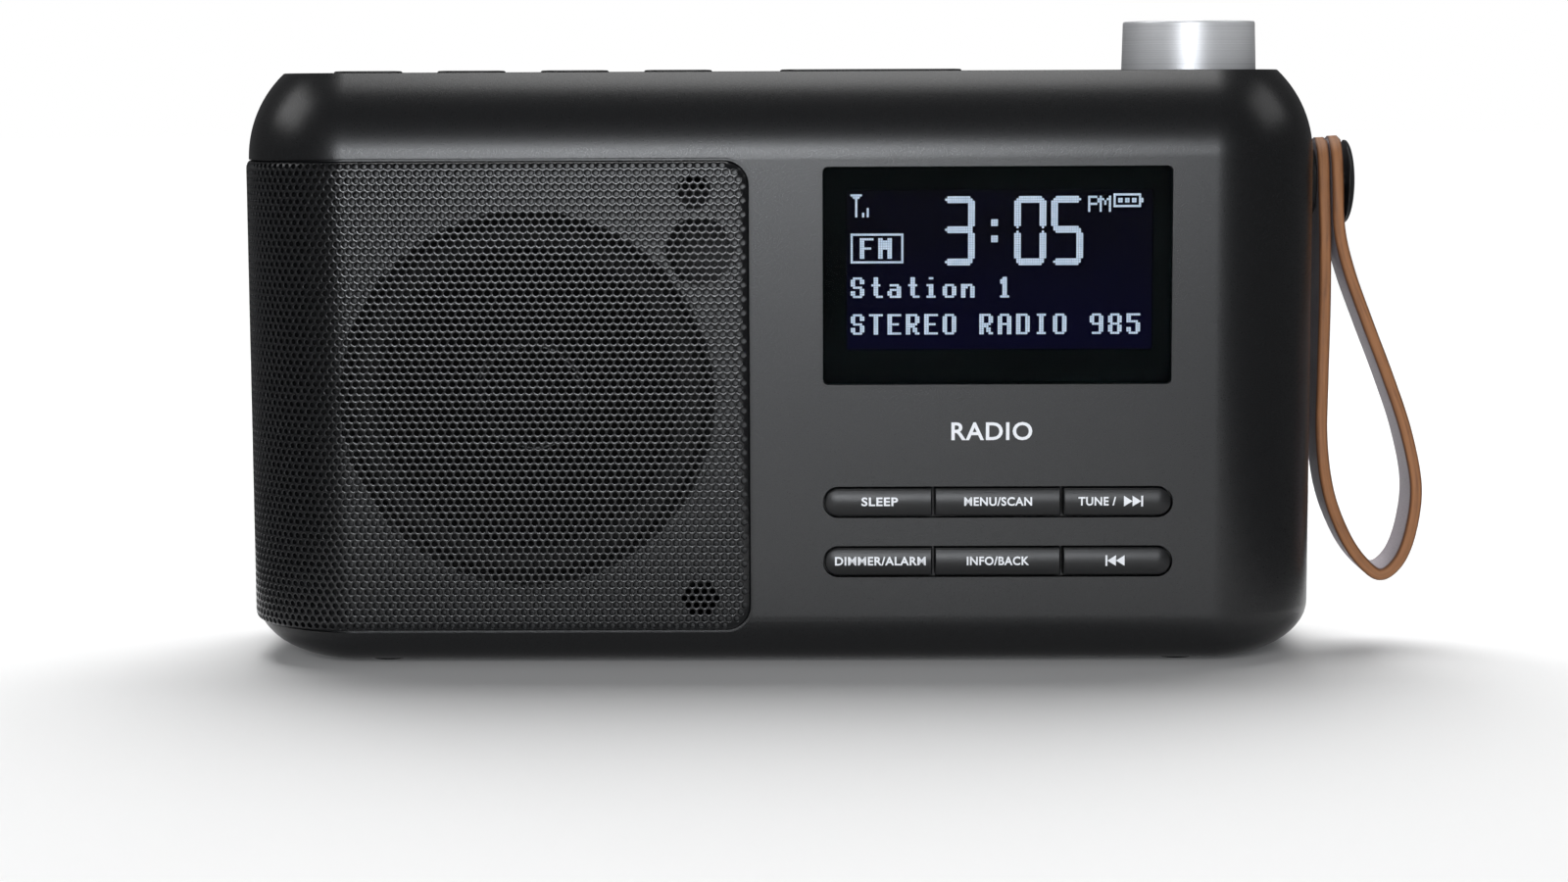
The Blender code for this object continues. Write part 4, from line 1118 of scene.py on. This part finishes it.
def aerial_parts():
    """Three drawn tubes, each crimped over the next, and a rod with a knob at its tip."""
    at, _ = middle("aerial_pin")
    radii = (3.2, 2.6, 2.0, 1.4)
    bodies = ("aerial_rod", "aerial_stage_2", "aerial_stage_3", "aerial_stage_4")
    for i, (radius, body) in enumerate(zip(radii, bodies)):
        r, start, end = radius, 8.5 + 0.6 * i, 132.5 + 1.2 * i
        if i < 3:
            crimp = [(r - 0.3, end), (r - 0.22, end), (r - 0.02, end - 0.5), (r - 0.02, end - 1.6),
                     (r - 0.12, end - 1.9), (r, end - 2.4), (r, start), (r - 0.3, start)]
            bm = lathe(in_mm(crimp), 40, True)
        else:
            tip = end + 3.6
            knob_tip = [(0, tip), (2.1, tip), (2.9, tip - 0.8), (2.9, end + 0.5), (r, end + 0.5)]
            bm = lathe(eased(in_mm(knob_tip), 0.3 * MM) + in_mm([(r, start), (0, start)]), 40)
        piece = add(f"aerial_tube_{i + 1}_drawn", bm, CHROME, at=at, turn=FACE_LEFT, smooth=50)
        stand_for(piece, body, "chrome", f"aerial_tube_{i + 1}")


def smooth_by_angle(degrees):
    """A node group that shades a mesh smooth but for its edges sharper than an angle."""
    group = bpy.data.node_groups.new("smooth_by_angle", "GeometryNodeTree")
    for way in ("INPUT", "OUTPUT"):
        group.interface.new_socket("Geometry", in_out=way, socket_type="NodeSocketGeometry")
    start, end, faces, edges, angle, sharp = (group.nodes.new(kind) for kind in (
        "NodeGroupInput", "NodeGroupOutput", "GeometryNodeSetShadeSmooth", "GeometryNodeSetShadeSmooth",
        "GeometryNodeInputMeshEdgeAngle", "FunctionNodeCompare"))
    faces.domain, edges.domain = "FACE", "EDGE"
    faces.inputs["Shade Smooth"].default_value = True
    edges.inputs["Shade Smooth"].default_value = False
    sharp.operation = "GREATER_THAN"
    sharp.inputs["B"].default_value = math.radians(degrees)
    for source, target in ((start.outputs[0], faces.inputs["Geometry"]),
                           (faces.outputs[0], edges.inputs["Geometry"]),
                           (angle.outputs["Unsigned Angle"], sharp.inputs["A"]),
                           (sharp.outputs[0], edges.inputs["Selection"]),
                           (edges.outputs[0], end.inputs[0])):
        group.links.new(source, target)
    return group


def finish_cad_nodes():
    """The CAD nodes that stay: each takes the material of what it is."""
    smooth = smooth_by_angle(35)
    looks = {INNER: ("battery_tray", "dc_socket", "headphone_socket"),
             SILICONE: ("lcd_backlight", "key_mat"),
             BOARD: ("control_board", "main_board", "top_board"),
             CHROME: ("aerial_fork", "aerial_pin", "aerial_root"),
             STEEL: ("encoder_body", "encoder_plunger", "encoder_shaft", "speaker_magnet",
                     "tuner_module"),
             PAINTED: ("speaker_basket", "voice_coil"),
             PAPER: ("speaker_cone", "speaker_dust_cap"), RUBBER: ("speaker_gasket", "speaker_surround"),
             CELL: ("cell_1", "cell_2", "cell_3", "cell_4"), DISPLAY: ("lcd_glass",)}
    for look, names in looks.items():
        for name in names:
            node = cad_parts[name]
            for slot in node.material_slots:
                slot.material = look
            node.modifiers.new("Smooth", "NODES").node_group = smooth


# ---- studio ----
def studio():
    """A white paper floor in a white tent, a strip in front, soft light above and behind.

    Only the paper close to the object shows in its gloss, as if black flags stood beyond it.
    The tent is seen by the camera alone, and the floor fades into it, so there is no horizon."""
    glow, paper_white = (1.0, 1.0, 1.0, 1.0), (0.88, 0.88, 0.88)
    fade_from, fade_to = 0.45, 0.95
    tent_side, tent_height = 7.0, 7.0
    paper = Look("studio_paper", paper_white, 0.9, Emission_Color=glow)
    paper.bump(paper.noise(300, 3.0), 0.05 * MM, 0.2)
    fade = paper.span(paper.length(paper.coords), fade_from, fade_to)
    paper.colour(paper.mix(fade, paper_white, (0, 0, 0)))
    paper.link(fade, paper.shader.inputs["Emission Strength"])
    tent = Look("studio_tent", (0, 0, 0), 1.0, Specular_IOR_Level=0.0, Emission_Color=glow,
                Emission_Strength=1.0)
    for look in (paper, tent):
        look.material.cycles.emission_sampling = "NONE"

    def sheet(name, loops, material, in_gloss, in_shade=True):
        bm = bmesh.new()
        for corners in loops:
            bm.faces.new([bm.verts.new(corner) for corner in corners])
        bmesh.ops.remove_doubles(bm, verts=bm.verts, dist=0.01 * MM)
        piece = add(name, bm, material, smooth=60)
        piece.visible_glossy = in_gloss
        piece.visible_diffuse = in_shade

    near_x, near_front, near_back = 0.15, -0.34, 0.50
    columns = (-tent_side, -near_x, near_x, tent_side)
    rows = (-tent_side, near_front, near_back, tent_side)
    far = []
    for y0, y1 in zip(rows, rows[1:]):
        for x0, x1 in zip(columns, columns[1:]):
            corners = ((x0, y0, 0), (x1, y0, 0), (x1, y1, 0), (x0, y1, 0))
            if (x0, y0) == (-near_x, near_front):
                sheet("studio_floor", [corners], paper.material, True)
            else:
                far.append(corners)
    sheet("studio_sweep", far, paper.material, False)
    foot = [(x * tent_side, y * tent_side) for x, y in ((-1, -1), (1, -1), (1, 1), (-1, 1))]
    walls = [((*p, 0), (*q, 0), (*q, tent_height), (*p, tent_height))
             for p, q in zip(foot, foot[1:] + foot[:1])]
    sheet("studio_tent", walls + [[(*p, tent_height) for p in foot]], tent.material, False, False)

    world = bpy.data.worlds.new("studio")
    world.use_nodes = True
    world.node_tree.nodes["Background"].inputs["Color"].default_value = (0.98, 0.98, 1.0, 1)
    world.node_tree.nodes["Background"].inputs["Strength"].default_value = 0.10
    bpy.context.scene.world = world

    def area(name, at, aim, size, power, colour=(1, 1, 1), in_gloss=True, in_shade=True):
        light = bpy.data.lights.new(name, "AREA")
        light.shape = "RECTANGLE"
        light.size, light.size_y = size
        light.energy = power
        light.color = colour
        lamp = put(name, light)
        lamp.location = at
        lamp.rotation_euler = (Vector(aim) - Vector(at)).to_track_quat("-Z", "Y").to_euler()
        lamp.visible_glossy = in_gloss
        lamp.visible_diffuse = in_shade

    area("top_softbox", (0.0, 0.05, 1.00), (0, 0.05, 0.0), (0.50, 0.70), 4.4, in_shade=False)
    area("front_softbox", (-0.20, -3.10, 0.42), (0, 0, 0.07), (1.15, 0.40), 34, (0.93, 0.96, 1.0))
    area("front_fill", (-0.30, -1.60, 0.50), (0, 0, 0.06), (1.2, 0.5), 11, in_gloss=False)
    area("rear_softbox", (0.0, 0.62, 1.00), (0, 0, 0), (1.3, 1.1), 22, in_gloss=False)
    area("left_softbox", (-1.30, -0.15, 1.00), (0, 0, 0.10), (0.9, 0.7), 4.5, in_shade=False)
    area("right_softbox", (1.30, -0.15, 1.00), (0, 0, 0.10), (0.9, 0.7), 2.4, in_shade=False)
    bpy.context.scene.view_settings.view_transform = "Standard"


def camera():
    """Nearly square on to the front, from a little above it."""
    yaw, pitch, roll = math.radians(-0.61), math.radians(6.38), math.radians(-0.24)
    ahead = Vector((math.sin(yaw) * math.cos(pitch), math.cos(yaw) * math.cos(pitch), -math.sin(pitch)))
    right = Vector((math.cos(yaw), -math.sin(yaw), 0))
    up = right.cross(ahead)
    cos, sin = math.cos(roll), math.sin(roll)
    right, up = right * cos + up * sin, up * cos - right * sin
    data = bpy.data.cameras.new("camera")
    data.sensor_width = 36
    data.lens = 72
    data.clip_start = 0.01
    eye = put("camera", data)
    basis = Matrix((right, up, -ahead)).transposed().to_4x4()
    basis.translation = Vector((X0 + 6.9 * MM, FRONT - 578.7 * MM, 107.5 * MM))
    eye.matrix_world = basis
    bpy.context.scene.camera = eye


front_case()
rear_case()
grille()
display()
front_keys()
labels()
top_caps()
knob()
wrist_loop()
battery_door()
screws_and_feet()
aerial_parts()
finish_cad_nodes()
studio()
camera()

bpy.context.view_layer.update()
